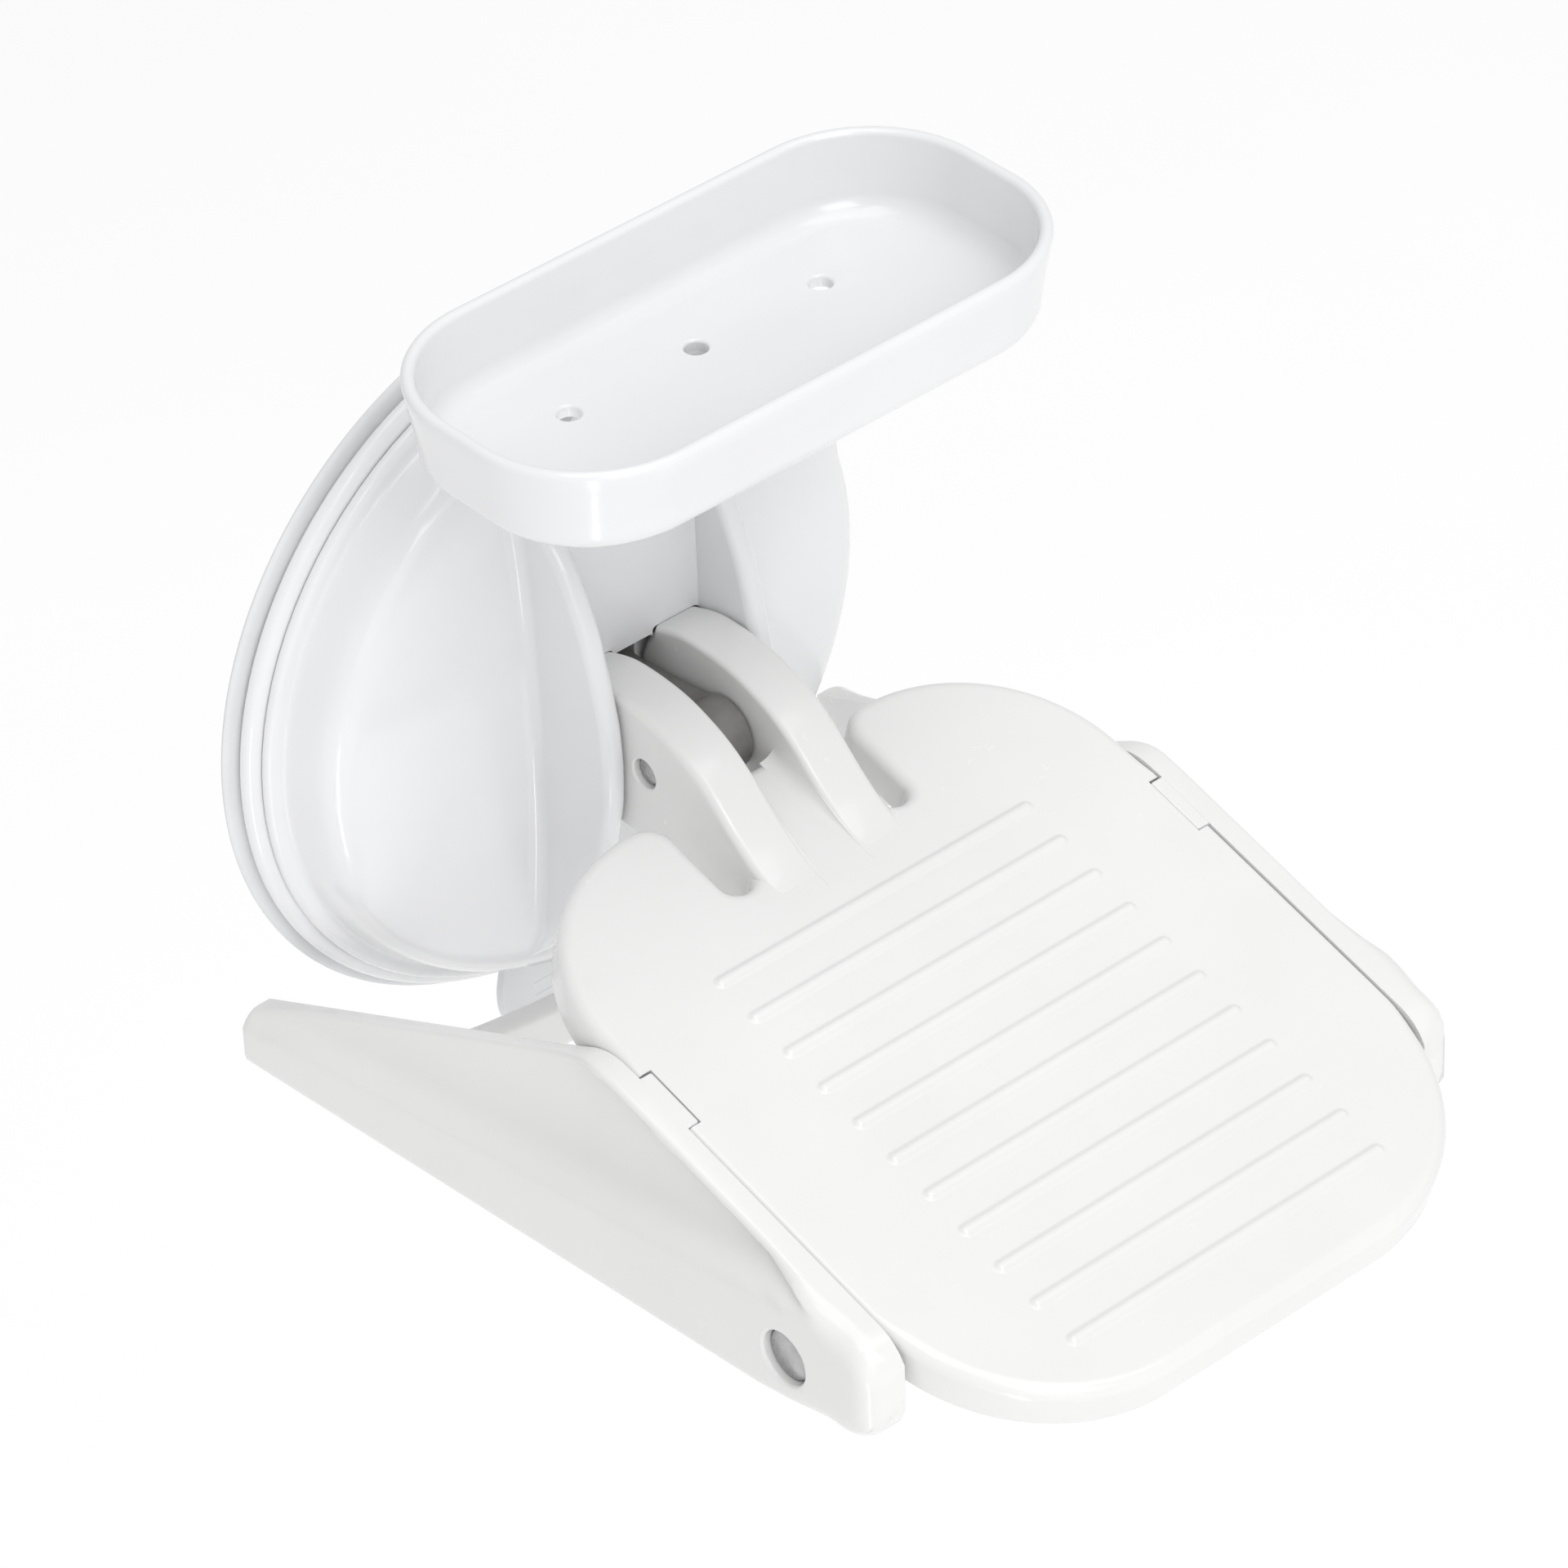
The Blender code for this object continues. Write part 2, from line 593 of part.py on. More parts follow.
def make_foot_plate(material):
    # s runs towards -Y in the flat plate, so an outline point (x, s) sits at (x, -s).
    flat = [(x, -s) for x, s in plate_outline()]
    plate = to_plate(prism("foot_plate", flat, "Z", -PLATE_THICKNESS, 0.0, material))
    rounding = plate.modifiers.new("edge_round", "BEVEL")
    rounding.width = PLATE_EDGE_ROUND
    rounding.segments = 2
    rounding.limit_method = "ANGLE"
    rounding.angle_limit = math.radians(60)
    hollow_top = -DECK_THICKNESS
    front_centre = (PLATE_HALF_WIDTH - PLATE_FRONT_CORNER, PLATE_FRONT - PLATE_FRONT_CORNER)
    front = [(x, -s) for x, s in arc(front_centre, PLATE_FRONT_CORNER - PLATE_WALL, 0, 90, 5)]
    rear_side = [(49.0 * MM, 2.0 * MM), (40.0 * MM, 16.0 * MM), (26.0 * MM, 8.0 * MM)]
    half = rear_side[::-1] + front
    hollow = half + [(-x, y) for x, y in reversed(half)]
    cut(plate, to_plate(prism("deck_hollow_shape", hollow, "Z", -PLATE_THICKNESS - 2 * MM, hollow_top)))
    for i, x in enumerate((-26.0 * MM, 0.0, 26.0 * MM)):
        spine = box(
            f"spine_{i}_shape",
            (x - 1.2 * MM, -PLATE_FRONT + 3 * MM, -PLATE_THICKNESS + 0.6 * MM),
            (x + 1.2 * MM, 12.0 * MM, hollow_top + 0.5 * MM),
        )
        join(plate, to_plate(spine))
    for i in range(RIB_COUNT):
        line = rounded_rectangle(
            RIB_HALF_LENGTH + RIB_HALF_WIDTH, RIB_HALF_WIDTH, RIB_HALF_WIDTH * 0.98, 3, (0.0, -i * RIB_SPACING)
        )
        join(plate, to_plate(prism(f"rib_{i}_shape", line, "Z", -0.8 * MM, RIB_HEIGHT)))
    for side in (-1, 1):
        reach = sorted((side * (PLATE_HALF_WIDTH - NOTCH_DEPTH), side * (PLATE_HALF_WIDTH + 2 * MM)))
        slant = (NOTCH_START - NOTCH_START_BELOW) / PLATE_THICKNESS
        below = -PLATE_THICKNESS - 1 * MM
        side_view = [
            (-NOTCH_END, 2 * MM),
            (-NOTCH_START, 2 * MM),
            (-NOTCH_START, 0.0),
            (-NOTCH_START - slant * below, below),
            (-NOTCH_END, below),
        ]
        cut(plate, to_plate(prism(f"notch_{side}_shape", side_view, "X", *reach)))
    for side in (-1, 1):
        ends = sorted((side * EAR_INNER, side * EAR_OUTER))
        ear = prism(f"ear_{side}_shape", ear_outline(), "X", *ends)
        ear.location = (0.0, -HINGE_DEPTH, 0.0)
        join(plate, ear)
        ends = sorted((side * LUG_INNER, side * LUG_OUTER))
        y, z = plate_point(BRACE_PIN_S, BRACE_PIN_N)
        lug = rod(f"lug_{side}_shape", LUG_RADIUS, *ends, "X", (y, z), steps=24)
        neck_low = (ends[0], -BRACE_PIN_S - LUG_RADIUS, BRACE_PIN_N)
        neck_high = (ends[1], -BRACE_PIN_S + LUG_RADIUS, -DECK_THICKNESS + 0.7 * MM)
        neck = to_plate(box(f"neck_{side}_shape", neck_low, neck_high))
        join(plate, lug, neck)
    bar_ends = (-EAR_OUTER - 1 * MM, EAR_OUTER + 1 * MM)
    cut(plate, rod("hinge_hole_shape", HINGE_PIN_RADIUS + RUNNING_GAP, *bar_ends, "X", (-HINGE_DEPTH, 0.0)))
    y, z = plate_point(BRACE_PIN_S, BRACE_PIN_N)
    for side in (-1, 1):
        ends = sorted((side * (LUG_INNER - 1 * MM), side * (LUG_OUTER + 1 * MM)))
        cut(plate, rod(f"lug_hole_{side}_shape", BRACE_PIN_RADIUS + RUNNING_GAP, *ends, "X", (y, z)))
    return plate


def wing_outline():
    """The side outline of a wing as (y, z): bottom and nose, the fold's front end, top, rear top."""
    low = (NOSE_FRONT - NOSE_BOTTOM_CORNER, -NOSE_DEPTH + NOSE_BOTTOM_CORNER)
    high = (NOSE_FRONT - NOSE_TOP_CORNER, -NOSE_TOP_CORNER)
    nose = arc(low, NOSE_BOTTOM_CORNER, -90, 0, 5) + arc(high, NOSE_TOP_CORNER, 0, 90, 5)
    front = [WING_REAR_BOTTOM] + [plate_point(s, n) for s, n in nose]
    fold = plate_point(FOLD_FRONT, 0.0)
    top = [
        plate_point(FOLD_FRONT - 2.4 * MM, 0.0),
        plate_point(5.0 * MM, 0.0),
        plate_point(0.5 * MM, -0.5 * MM),
        plate_point(-2.6 * MM, -2.4 * MM),
    ]
    return front, fold, top, WING_REAR_TOP


def wing_outer(y):
    share = min(1.0, y / WING_FRONT_Y)
    return WING_REAR_OUTER + (WING_FRONT_OUTER - WING_REAR_OUTER) * share


def wing_inner(y):
    share = min(1.0, y / WING_CORNER_Y)
    return WING_INNER_REAR + (WING_INNER - WING_INNER_REAR) * share


def make_wing(name, side, material=None):
    """A wing with a folded outer face: a band below the fold and a triangular panel above it."""
    front, fold, top, rear_top = wing_outline()
    verts = []

    def add(points, reach):
        start = len(verts)
        for point in points:
            verts.append((side * reach(point[0]), point[0], point[1]))
        return list(range(start, len(verts)))

    band = add(front, wing_outer)
    fold_front = add([fold], lambda y: WING_TOP_OUTER + 1.4 * MM)
    upper = add(top, lambda y: WING_TOP_OUTER)
    corner_rear = add([rear_top], lambda y: WING_INNER_REAR + 1.6 * MM)
    fold_rear = add([rear_top - Vector((0.0, 1.2 * MM))], wing_outer)
    inside = add(front + [fold] + top + [rear_top], wing_inner)
    outer_loop = band + fold_front + upper + corner_rear
    faces = [band + fold_front + fold_rear, fold_rear + fold_front + upper + corner_rear, inside]
    for i in range(len(outer_loop) - 1):
        faces.append((outer_loop[i], outer_loop[i + 1], inside[i + 1], inside[i]))
    faces.append((outer_loop[-1], fold_rear[0], outer_loop[0], inside[0], inside[-1]))
    return add_mesh(name, verts, faces, material, triangles=True)


def cross_outline():
    """The crescent panel that joins the wings, as (x, z): both its edges are shallow arches."""
    steps = 12
    top = []
    bottom = []
    for i in range(steps + 1):
        share = -1 + 2 * i / steps
        top.append((share * CROSS_HALF_WIDTH, CROSS_TOP_MIDDLE + CROSS_TOP_RISE * share**2))
        bottom.append((share * CROSS_HALF_WIDTH, CROSS_BOTTOM_MIDDLE + CROSS_BOTTOM_RISE * share**2))
    return top + bottom[::-1]


def make_brace(material):
    brace = make_wing("brace", -1, material=material)
    right = make_wing("wing_right_shape", 1)
    cross = prism("cross_shape", cross_outline(), "Y", -CROSS_FRONT, -CROSS_BACK)
    join(brace, cross, right)
    for side in (-1, 1):
        reach = sorted((side * (PLATE_HALF_WIDTH - NOTCH_DEPTH + GAP), side * (WING_INNER + 1 * MM)))
        catch = to_plate(
            box(
                f"catch_{side}_shape",
                (reach[0], -NOTCH_END + GAP, -CATCH_HEIGHT),
                (reach[1], -NOTCH_START - GAP, -CATCH_STEP),
            )
        )
        join(brace, catch)
        y, z = plate_point(BRACE_PIN_S, BRACE_PIN_N)
        ends = sorted((side * (WING_INNER - 1 * MM), side * (WING_REAR_OUTER + 1 * MM)))
        cut(brace, rod(f"wing_hole_{side}_shape", BRACE_PIN_RADIUS + RUNNING_GAP, *ends, "X", (y, z)))
        ends = sorted((side * (WING_FRONT_OUTER - 3.2 * MM), side * (WING_REAR_OUTER + 1 * MM)))
        cut(brace, rod(f"counterbore_{side}_shape", COUNTERBORE, *ends, "X", (y, z)))
    return brace


def make_brace_pin(side, name, material):
    y, z = plate_point(BRACE_PIN_S, BRACE_PIN_N)
    head_out = WING_FRONT_OUTER - 1.0 * MM
    head_in = WING_FRONT_OUTER - 3.2 * MM + GAP
    ends = sorted((side * (LUG_INNER - 3.2 * MM), side * (head_in + 0.2 * MM)))
    pin = rod(f"brace_pin_{name}", BRACE_PIN_RADIUS, *ends, "X", (y, z), material)
    head_ends = sorted((side * head_in, side * head_out))
    join(pin, rod(f"pin_head_{name}_shape", BRACE_PIN_HEAD, *head_ends, "X", (y, z)))
    groove_at = LUG_INNER - 1.2 * MM
    clip_ends = sorted((side * (groove_at - 0.4 * MM), side * (groove_at + 0.4 * MM)))
    clip = rod(f"pin_clip_{name}", 4.4 * MM, *clip_ends, "X", (y, z), material, steps=20)
    cut(clip, rod(f"clip_bore_{name}_shape", BRACE_PIN_RADIUS + RUNNING_GAP, *sorted(
        (side * (groove_at - 2 * MM), side * (groove_at + 2 * MM))), "X", (y, z)))
    mouth = box(
        f"clip_mouth_{name}_shape",
        (min(clip_ends) - 1 * MM, y - 1.4 * MM, z - 8 * MM),
        (max(clip_ends) + 1 * MM, y + 1.4 * MM, z),
    )
    cut(clip, mouth)
    return pin, clip


def dish_loop(inset, height):
    points = rounded_rectangle(
        DISH_HALF_LENGTH - inset, DISH_HALF_WIDTH - inset, DISH_CORNER - inset, 9, (0.0, -DISH_DEPTH)
    )
    return [(x, y, height) for x, y in points]


def make_soap_dish(material):
    rim = 0.7 * MM
    dish = loft(
        "soap_dish",
        [
            dish_loop(6.0 * MM, DISH_BOTTOM),
            dish_loop(3.0 * MM, DISH_BOTTOM + 0.7 * MM),
            dish_loop(1.0 * MM, DISH_BOTTOM + 2.6 * MM),
            dish_loop(0.5 * MM, DISH_BOTTOM + 5.2 * MM),
            dish_loop(0.0, DISH_TOP - rim),
            dish_loop(rim, DISH_TOP),
            dish_loop(DISH_WALL - rim, DISH_TOP),
            dish_loop(DISH_WALL, DISH_TOP - rim),
            dish_loop(DISH_WALL + 0.8 * MM, DISH_FLOOR + 3.6 * MM),
            dish_loop(DISH_WALL + 2.0 * MM, DISH_FLOOR + 1.0 * MM),
            dish_loop(DISH_WALL + 4.4 * MM, DISH_FLOOR),
        ],
        material,
    )
    for side in (-1, 1):
        place = (side * DISH_SCREW_OFFSET, -DISH_SCREW_DEPTH)
        boss = rod(
            f"dish_boss_{side}_shape", DISH_BOSS_RADIUS, BRACKET_TABLE_TOP + GAP, DISH_BOTTOM + 1 * MM, "Z", place
        )
        join(dish, boss)
        bore = rod(
            f"dish_bore_{side}_shape", SMALL_SCREW_SHAFT + GAP, 60 * MM, DISH_BOTTOM + 0.4 * MM, "Z", place, steps=16
        )
        cut(dish, bore)
    for i in (-1, 0, 1):
        drain = rod(
            f"drain_{i}_shape", DRAIN_RADIUS, DISH_BOTTOM - 2 * MM, DISH_FLOOR + 2 * MM, "Z",
            (i * DRAIN_SPACING, -DRAIN_DEPTH), steps=16,
        )
        cut(dish, drain)
    return dish


def bracket_outline():
    """The side profile of the dish bracket as (y, z): a foot, a curved arm and a table."""
    foot_back = -CHANNEL_FLOOR - GAP
    outer = smooth_curve(
        [
            (foot_back - 3.2 * MM, FOOT_BOTTOM),
            (foot_back - 3.2 * MM, 48.0 * MM),
            (-30.5 * MM, 56.0 * MM),
            (-36.5 * MM, 63.0 * MM),
            (-46.0 * MM, BRACKET_TABLE_BOTTOM),
            (-62.0 * MM, BRACKET_TABLE_BOTTOM),
        ],
        4,
    )
    inner = smooth_curve(
        [
            (-62.0 * MM, BRACKET_TABLE_TOP),
            (-44.0 * MM, BRACKET_TABLE_TOP),
            (-33.6 * MM, 66.2 * MM),
            (-26.6 * MM, 58.0 * MM),
            (foot_back, 49.6 * MM),
            (foot_back, FOOT_BOTTOM),
        ],
        4,
    )
    return [tuple(p) for p in outer + inner]


def make_dish_bracket(material):
    width = BRACKET_HALF_WIDTH
    bracket = prism("dish_bracket", bracket_outline(), "X", -width, width, material)
    for side in (-1, 1):
        place = (side * DISH_SCREW_OFFSET, -DISH_SCREW_DEPTH)
        cut(bracket, rod(f"table_hole_{side}_shape", SMALL_SCREW_SHAFT + GAP, 60 * MM, 75 * MM, "Z", place, steps=16))
        place = (side * FOOT_SCREW_OFFSET, FOOT_SCREW_Z)
        cut(bracket, rod(f"foot_bore_{side}_shape", SMALL_SCREW_SHAFT + GAP, -35 * MM, -20 * MM, "Y", place, steps=16))
    return bracket


def make_small_screws(material):
    """Two screws up through the bracket's table and two through its foot into the cover."""
    screws = []
    for i, side in enumerate((-1, 1)):
        place = (side * DISH_SCREW_OFFSET, -DISH_SCREW_DEPTH)
        head_top = BRACKET_TABLE_BOTTOM - GAP
        shaft = rod(f"dish_screw_{i + 1}", SMALL_SCREW_SHAFT, head_top - 0.5 * MM, DISH_BOTTOM - 0.2 * MM, "Z", place,
                    material, steps=16)
        join(shaft, rod(f"dish_head_{i}_shape", SMALL_SCREW_HEAD, head_top - 1.8 * MM, head_top, "Z", place, steps=16))
        screws.append(shaft)
    for i, side in enumerate((-1, 1)):
        place = (side * FOOT_SCREW_OFFSET, FOOT_SCREW_Z)
        head_back = -CHANNEL_FLOOR - GAP - 3.2 * MM - GAP
        shaft = rod(f"bracket_screw_{i + 1}", SMALL_SCREW_SHAFT, head_back - 0.5 * MM, -17.0 * MM, "Y", place,
                    material, steps=16)
        join(shaft, rod(f"foot_head_{i}_shape", SMALL_SCREW_HEAD, head_back - 1.8 * MM, head_back, "Y", place, steps=16))
        screws.append(shaft)
    return screws


def main():
    remove_everything()
    cover_white = make_material("cool_white_plastic", (0.86, 0.86, 0.87), 0.22)
    plate_white = make_material("warm_white_plastic", (0.86, 0.855, 0.84), 0.28)
    rubber = make_material("clear_grey_rubber", (0.62, 0.63, 0.65), 0.45)
    nylon = make_material("grey_nylon", (0.42, 0.41, 0.40), 0.5)
    steel = make_material("steel", (0.60, 0.61, 0.62), 0.3, 1.0)

    make_suction_pad(rubber)
    ring = make_clamp_ring(cover_white)
    make_ring_screws(ring, steel)
    make_dome_cover(cover_white)
    make_dish_bracket(cover_white)
    make_soap_dish(cover_white)
    make_small_screws(steel)

    stud_axis = make_axis("stud_axis", (0.0, -HINGE_DEPTH, 0.0))
    stud = make_pull_stud(nylon)
    pin_ends = (-HINGE_PIN_HALF_LENGTH, HINGE_PIN_HALF_LENGTH)
    hinge_pin = rod("hinge_pin", HINGE_PIN_RADIUS, *pin_ends, "X", (-HINGE_DEPTH, 0.0), steel)
    parent_at(stud_axis, stud, hinge_pin)

    plate_axis = make_axis("plate_axis", (0.0, -HINGE_DEPTH, 0.0))
    plate = make_foot_plate(plate_white)
    parent_at(plate_axis, plate)

    brace_y, brace_z = plate_point(BRACE_PIN_S, BRACE_PIN_N)
    brace_axis = make_axis("brace_axis", (0.0, brace_y, brace_z))
    brace = make_brace(plate_white)
    parent_at(brace_axis, brace)
    for side, name in ((-1, "left"), (1, "right")):
        parent_at(plate_axis, *make_brace_pin(side, name, steel))


main()
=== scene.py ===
"""The looks of the suction-mounted shower foot rest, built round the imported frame.

Shapes are worked out in millimetres and scaled to metres as each mesh is made. The wall is y = 0 and the
object stands out towards -Y, so a "depth" d is the point y = -d. The foot plate has its own coordinates:
x, s down its slope from the first rib, and n above its top.
"""

import math

import bmesh
import bpy
from mathutils import Matrix, Vector


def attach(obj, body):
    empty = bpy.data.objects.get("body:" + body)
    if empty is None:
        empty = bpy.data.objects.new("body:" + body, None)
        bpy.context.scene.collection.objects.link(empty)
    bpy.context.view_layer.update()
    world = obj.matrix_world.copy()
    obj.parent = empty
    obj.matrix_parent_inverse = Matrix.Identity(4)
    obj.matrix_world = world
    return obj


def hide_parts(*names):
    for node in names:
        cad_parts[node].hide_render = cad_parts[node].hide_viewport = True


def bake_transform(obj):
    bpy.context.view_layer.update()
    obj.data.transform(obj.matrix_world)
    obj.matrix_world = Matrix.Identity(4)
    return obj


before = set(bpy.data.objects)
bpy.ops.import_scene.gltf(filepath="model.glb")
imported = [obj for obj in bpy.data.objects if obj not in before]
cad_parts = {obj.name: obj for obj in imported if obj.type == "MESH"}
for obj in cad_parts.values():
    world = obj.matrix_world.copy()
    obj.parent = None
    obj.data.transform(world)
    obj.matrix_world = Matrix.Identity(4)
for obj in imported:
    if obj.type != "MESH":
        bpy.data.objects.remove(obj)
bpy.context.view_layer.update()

MM = 0.001

# Dish, its bracket and their screws
DRAIN_Y = -43.8
DRAIN_RADIUS = 1.9
DRAIN_SPACING = 25.6
DISH_MIDDLE_Y = -52.4
DISH_HALF_LENGTH = 54.4
DISH_HALF_WIDTH = 27.0
DISH_CORNER = 22.1
DISH_BOTTOM = 73.4
DISH_FLOOR = 75.4
BRACKET_HALF_WIDTH = 13.0
DISH_SCREW_X = 9.5
DISH_SCREW_Y = -53.0
BRACKET_SCREW_X = 8.0
BRACKET_SCREW_Z = 44.0

# Dome cover and pad
CHANNEL_FLOOR = 24.8
CHANNEL_HALF = 14.0
CHEEK_OUTER = 18.2
CHEEK_ROUND = 1.9
POCKET_TOP = 10.3
POCKET_BOTTOM = -19.6
POCKET_DEPTH = 4.85
DISC_RADIUS = 54.6
RING_SCREW_CIRCLE = 50.0

# Foot plate
SLOPE = math.radians(16.44)
FIRST_RIB = (-81.85, -9.32)
PLATE_HALF = 55.0
PLATE_BACK = -31.5
PLATE_FRONT = 94.6
PLATE_THICK = 8.0
EAR_INNER = 4.4
EAR_OUTER = 13.65
SLOT_OUTER = 19.2
SLOT_END = -12.3
WEB_BACK = -31.0
RIB_COUNT = 11
RIB_SPACING = 8.227
RIB_HALF_LENGTH = 32.2
RIB_HALF_WIDTH = 1.5
RIB_HEIGHT = 0.6
HINGE_DEPTH = 42.75
PIN_BORE = 2.62
INVOLUTE_BASE = 3.4
TAIL_REACH = 22.5

# Brace
PIN_S = 53.4
PIN_N = -14.4
PIN_RADIUS = 2.5
WING_INNER = 55.15
WING_INNER_REAR = 59.4
WING_OUTER_REAR = 66.0
WING_OUTER_FRONT = 62.3
FLANGE_OUTER = 59.4
FLANGE_HEIGHT = 1.3
PANEL_WALL = 2.3
FOLD_REAR = -45.6
FOLD_RISE = 19.4 / 136.5
NOSE_FRONT = 72.5
NOSE_DEPTH = 19.4


class Skin:
    """Closed skins gathered into one mesh, with their points in millimetres."""

    def __init__(self):
        self.points = []
        self.faces = []

    def loops(self, loops, caps=True, ring=False):
        """Joins closed loops of equal length, in order. A ring joins its last loop to its first."""
        count = len(loops[0])
        first = len(self.points)
        for loop in loops:
            self.points.extend(tuple(p) for p in loop)
        pairs = [(k, k + 1) for k in range(len(loops) - 1)]
        if ring:
            pairs.append((len(loops) - 1, 0))
        for low, high in pairs:
            for i in range(count):
                j = (i + 1) % count
                a, b = first + low * count, first + high * count
                self.faces.append((a + i, a + j, b + j, b + i))
        if caps and not ring:
            last = first + (len(loops) - 1) * count
            self.faces.append(tuple(range(first, first + count)))
            self.faces.append(tuple(range(last, last + count)))

    def mesh(self, name, sharp=35):
        mesh = bpy.data.meshes.new(name)
        mesh.from_pydata([tuple(c * MM for c in p) for p in self.points], [], self.faces)
        work = bmesh.new()
        work.from_mesh(mesh)
        bmesh.ops.remove_doubles(work, verts=work.verts, dist=0.002 * MM)
        bmesh.ops.recalc_face_normals(work, faces=work.faces)
        work.to_mesh(mesh)
        work.free()
        mesh.shade_smooth()
        mesh.set_sharp_from_angle(angle=math.radians(sharp))
        return mesh

    def object(self, name, sharp=35):
        obj = bpy.data.objects.new(name, self.mesh(name, sharp))
        bpy.context.scene.collection.objects.link(obj)
        return obj


def finish_piece(obj, material, body, slot, *replaced):
    """Gives a piece its material, the body that it rides on and the CAD nodes that it stands for."""
    obj.data.materials.clear()
    obj.data.materials.append(material)
    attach(obj, body)
    if replaced:
        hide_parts(*replaced)
    return obj


def apply_cut(target, *tools, sharp=35):
    """Cuts the tools out of the target with exact Booleans, and removes them."""
    for tool in tools:
        step = target.modifiers.new("cut", "BOOLEAN")
        step.operation = "DIFFERENCE"
        step.solver = "EXACT"
        step.object = tool
    graph = bpy.context.evaluated_depsgraph_get()
    made = bpy.data.meshes.new_from_object(target.evaluated_get(graph))
    target.modifiers.clear()
    target.data = made
    made.shade_smooth()
    made.set_sharp_from_angle(angle=math.radians(sharp))
    for tool in tools:
        bpy.data.objects.remove(tool, do_unlink=True)


def arc(centre, radius, start, end, steps, closed=False):
    """Points on an arc, with its angles in degrees. A closed arc leaves out its last point."""
    found = []
    for i in range(steps if closed else steps + 1):
        angle = math.radians(start + (end - start) * i / steps)
        found.append((centre[0] + radius * math.cos(angle), centre[1] + radius * math.sin(angle)))
    return found


def on_circle(centre, radius, angle):
    """The point of a circle at an angle in degrees."""
    return arc(centre, radius, angle, angle, 1)[0]


def smooth_curve(points, steps):
    """Catmull-Rom points through the given ones."""
    found = []
    ends = [points[0]] + list(points) + [points[-1]]
    for i in range(len(points) - 1):
        p0, p1, p2, p3 = (Vector(p) for p in ends[i : i + 4])
        for k in range(steps):
            t = k / steps
            square = (2 * p0 - 5 * p1 + 4 * p2 - p3) * t**2
            q = 2 * p1 + (p2 - p0) * t + square + (3 * p1 - p0 - 3 * p2 + p3) * t**3
            found.append(tuple(0.5 * q))
    return found + [tuple(points[-1])]


def soften(points, radius, steps=5, threshold=20):
    """Rounds each corner of a closed outline that turns by more than a threshold in degrees."""
    found = []
    count = len(points)
    for i in range(count):
        before, here, after = (Vector(points[k % count]) for k in (i - 1, i, i + 1))
        back, ahead = before - here, after - here
        turn = math.pi - back.angle(ahead, math.pi)
        if turn < math.radians(threshold):
            found.append(tuple(here))
            continue
        reach = min(radius * math.tan(turn / 2), 0.45 * back.length, 0.45 * ahead.length)
        start, end = here + back.normalized() * reach, here + ahead.normalized() * reach
        for k in range(steps + 1):
            t = k / steps
            found.append(tuple(start * (1 - t) ** 2 + here * 2 * t * (1 - t) + end * t**2))
    return found


def inset_loop(points, inset):
    """Moves a closed outline inwards. Edges that would turn over close up, so no corner crosses itself."""
    count = len(points)
    area = 0.0
    for i in range(count):
        here, after = points[i], points[(i + 1) % count]
        area += here[0] * after[1] - after[0] * here[1]
    side = 1 if area > 0 else -1
    found = []
    for i in range(count):
        before, here, after = (Vector(points[k % count]) for k in (i - 1, i, i + 1))
        first, second = (here - before).normalized(), (after - here).normalized()
        n1, n2 = Vector((-first.y, first.x)) * side, Vector((-second.y, second.x)) * side
        middle = (n1 + n2).normalized()
        found.append(here + middle * inset / max(0.5, middle.dot(n1)))
    for _ in range(60):
        folded = False
        for i in range(count):
            j = (i + 1) % count
            if (found[j] - found[i]).dot(Vector(points[j]) - Vector(points[i])) < 0:
                found[i] = found[j] = (found[i] + found[j]) / 2
                folded = True
        if not folded:
            break
    return [tuple(p) for p in found]


def quarter_angles(steps):
    """Angles from nought to a right angle, in even steps."""
    return [math.pi / 2 * i / steps for i in range(steps + 1)]


def quarter(radius, steps):
    """(inset, drop) pairs round an edge, from its side to its top."""
    found = []
    for angle in quarter_angles(steps):
        found.append((radius * (1 - math.cos(angle)), radius * (1 - math.sin(angle))))
    return found


def rounded_slab(skin, outline, low, high, low_round, high_round, place, steps=5, rest=0.3):
    """An outline given thickness from low to high, with both its rims rounded."""
    rows = [(low_round + rest, low)]
    rows += [(inset, low + drop) for inset, drop in reversed(quarter(low_round, steps))]
    rows += [(inset, high - drop) for inset, drop in quarter(high_round, steps)]
    rows.append((high_round + rest, high))
    skin.loops([[place(a, b, level) for a, b in inset_loop(outline, inset)] for inset, level in rows])


def along_x(a, b, level):
    return (level, a, b)


def along_y(a, b, level):
    return (a, level, b)


def along_z(a, b, level):
    return (a, b, level)


def plate_place(x, s, n):
    """A point of the foot plate's own coordinates in the row frame."""
    return (
        x,
        FIRST_RIB[0] - math.cos(SLOPE) * s - math.sin(SLOPE) * n,
        FIRST_RIB[1] - math.sin(SLOPE) * s + math.cos(SLOPE) * n,
    )


def plate_side(s, n):
    return plate_place(0.0, s, n)[1:]


def plate_top(y):
    return FIRST_RIB[1] + math.tan(SLOPE) * (y - FIRST_RIB[0])


def smoothstep(low, high, value):
    t = min(1.0, max(0.0, (value - low) / (high - low)))
    return t * t * (3 - 2 * t)


def table_value(table, key):
    """Linear reading of a table of (key, value) rows in rising order."""
    if key <= table[0][0]:
        return table[0][1]
    for (k0, v0), (k1, v1) in zip(table, table[1:]):
        if key <= k1:
            return v0 + (v1 - v0) * (key - k0) / (k1 - k0)
    return table[-1][1]


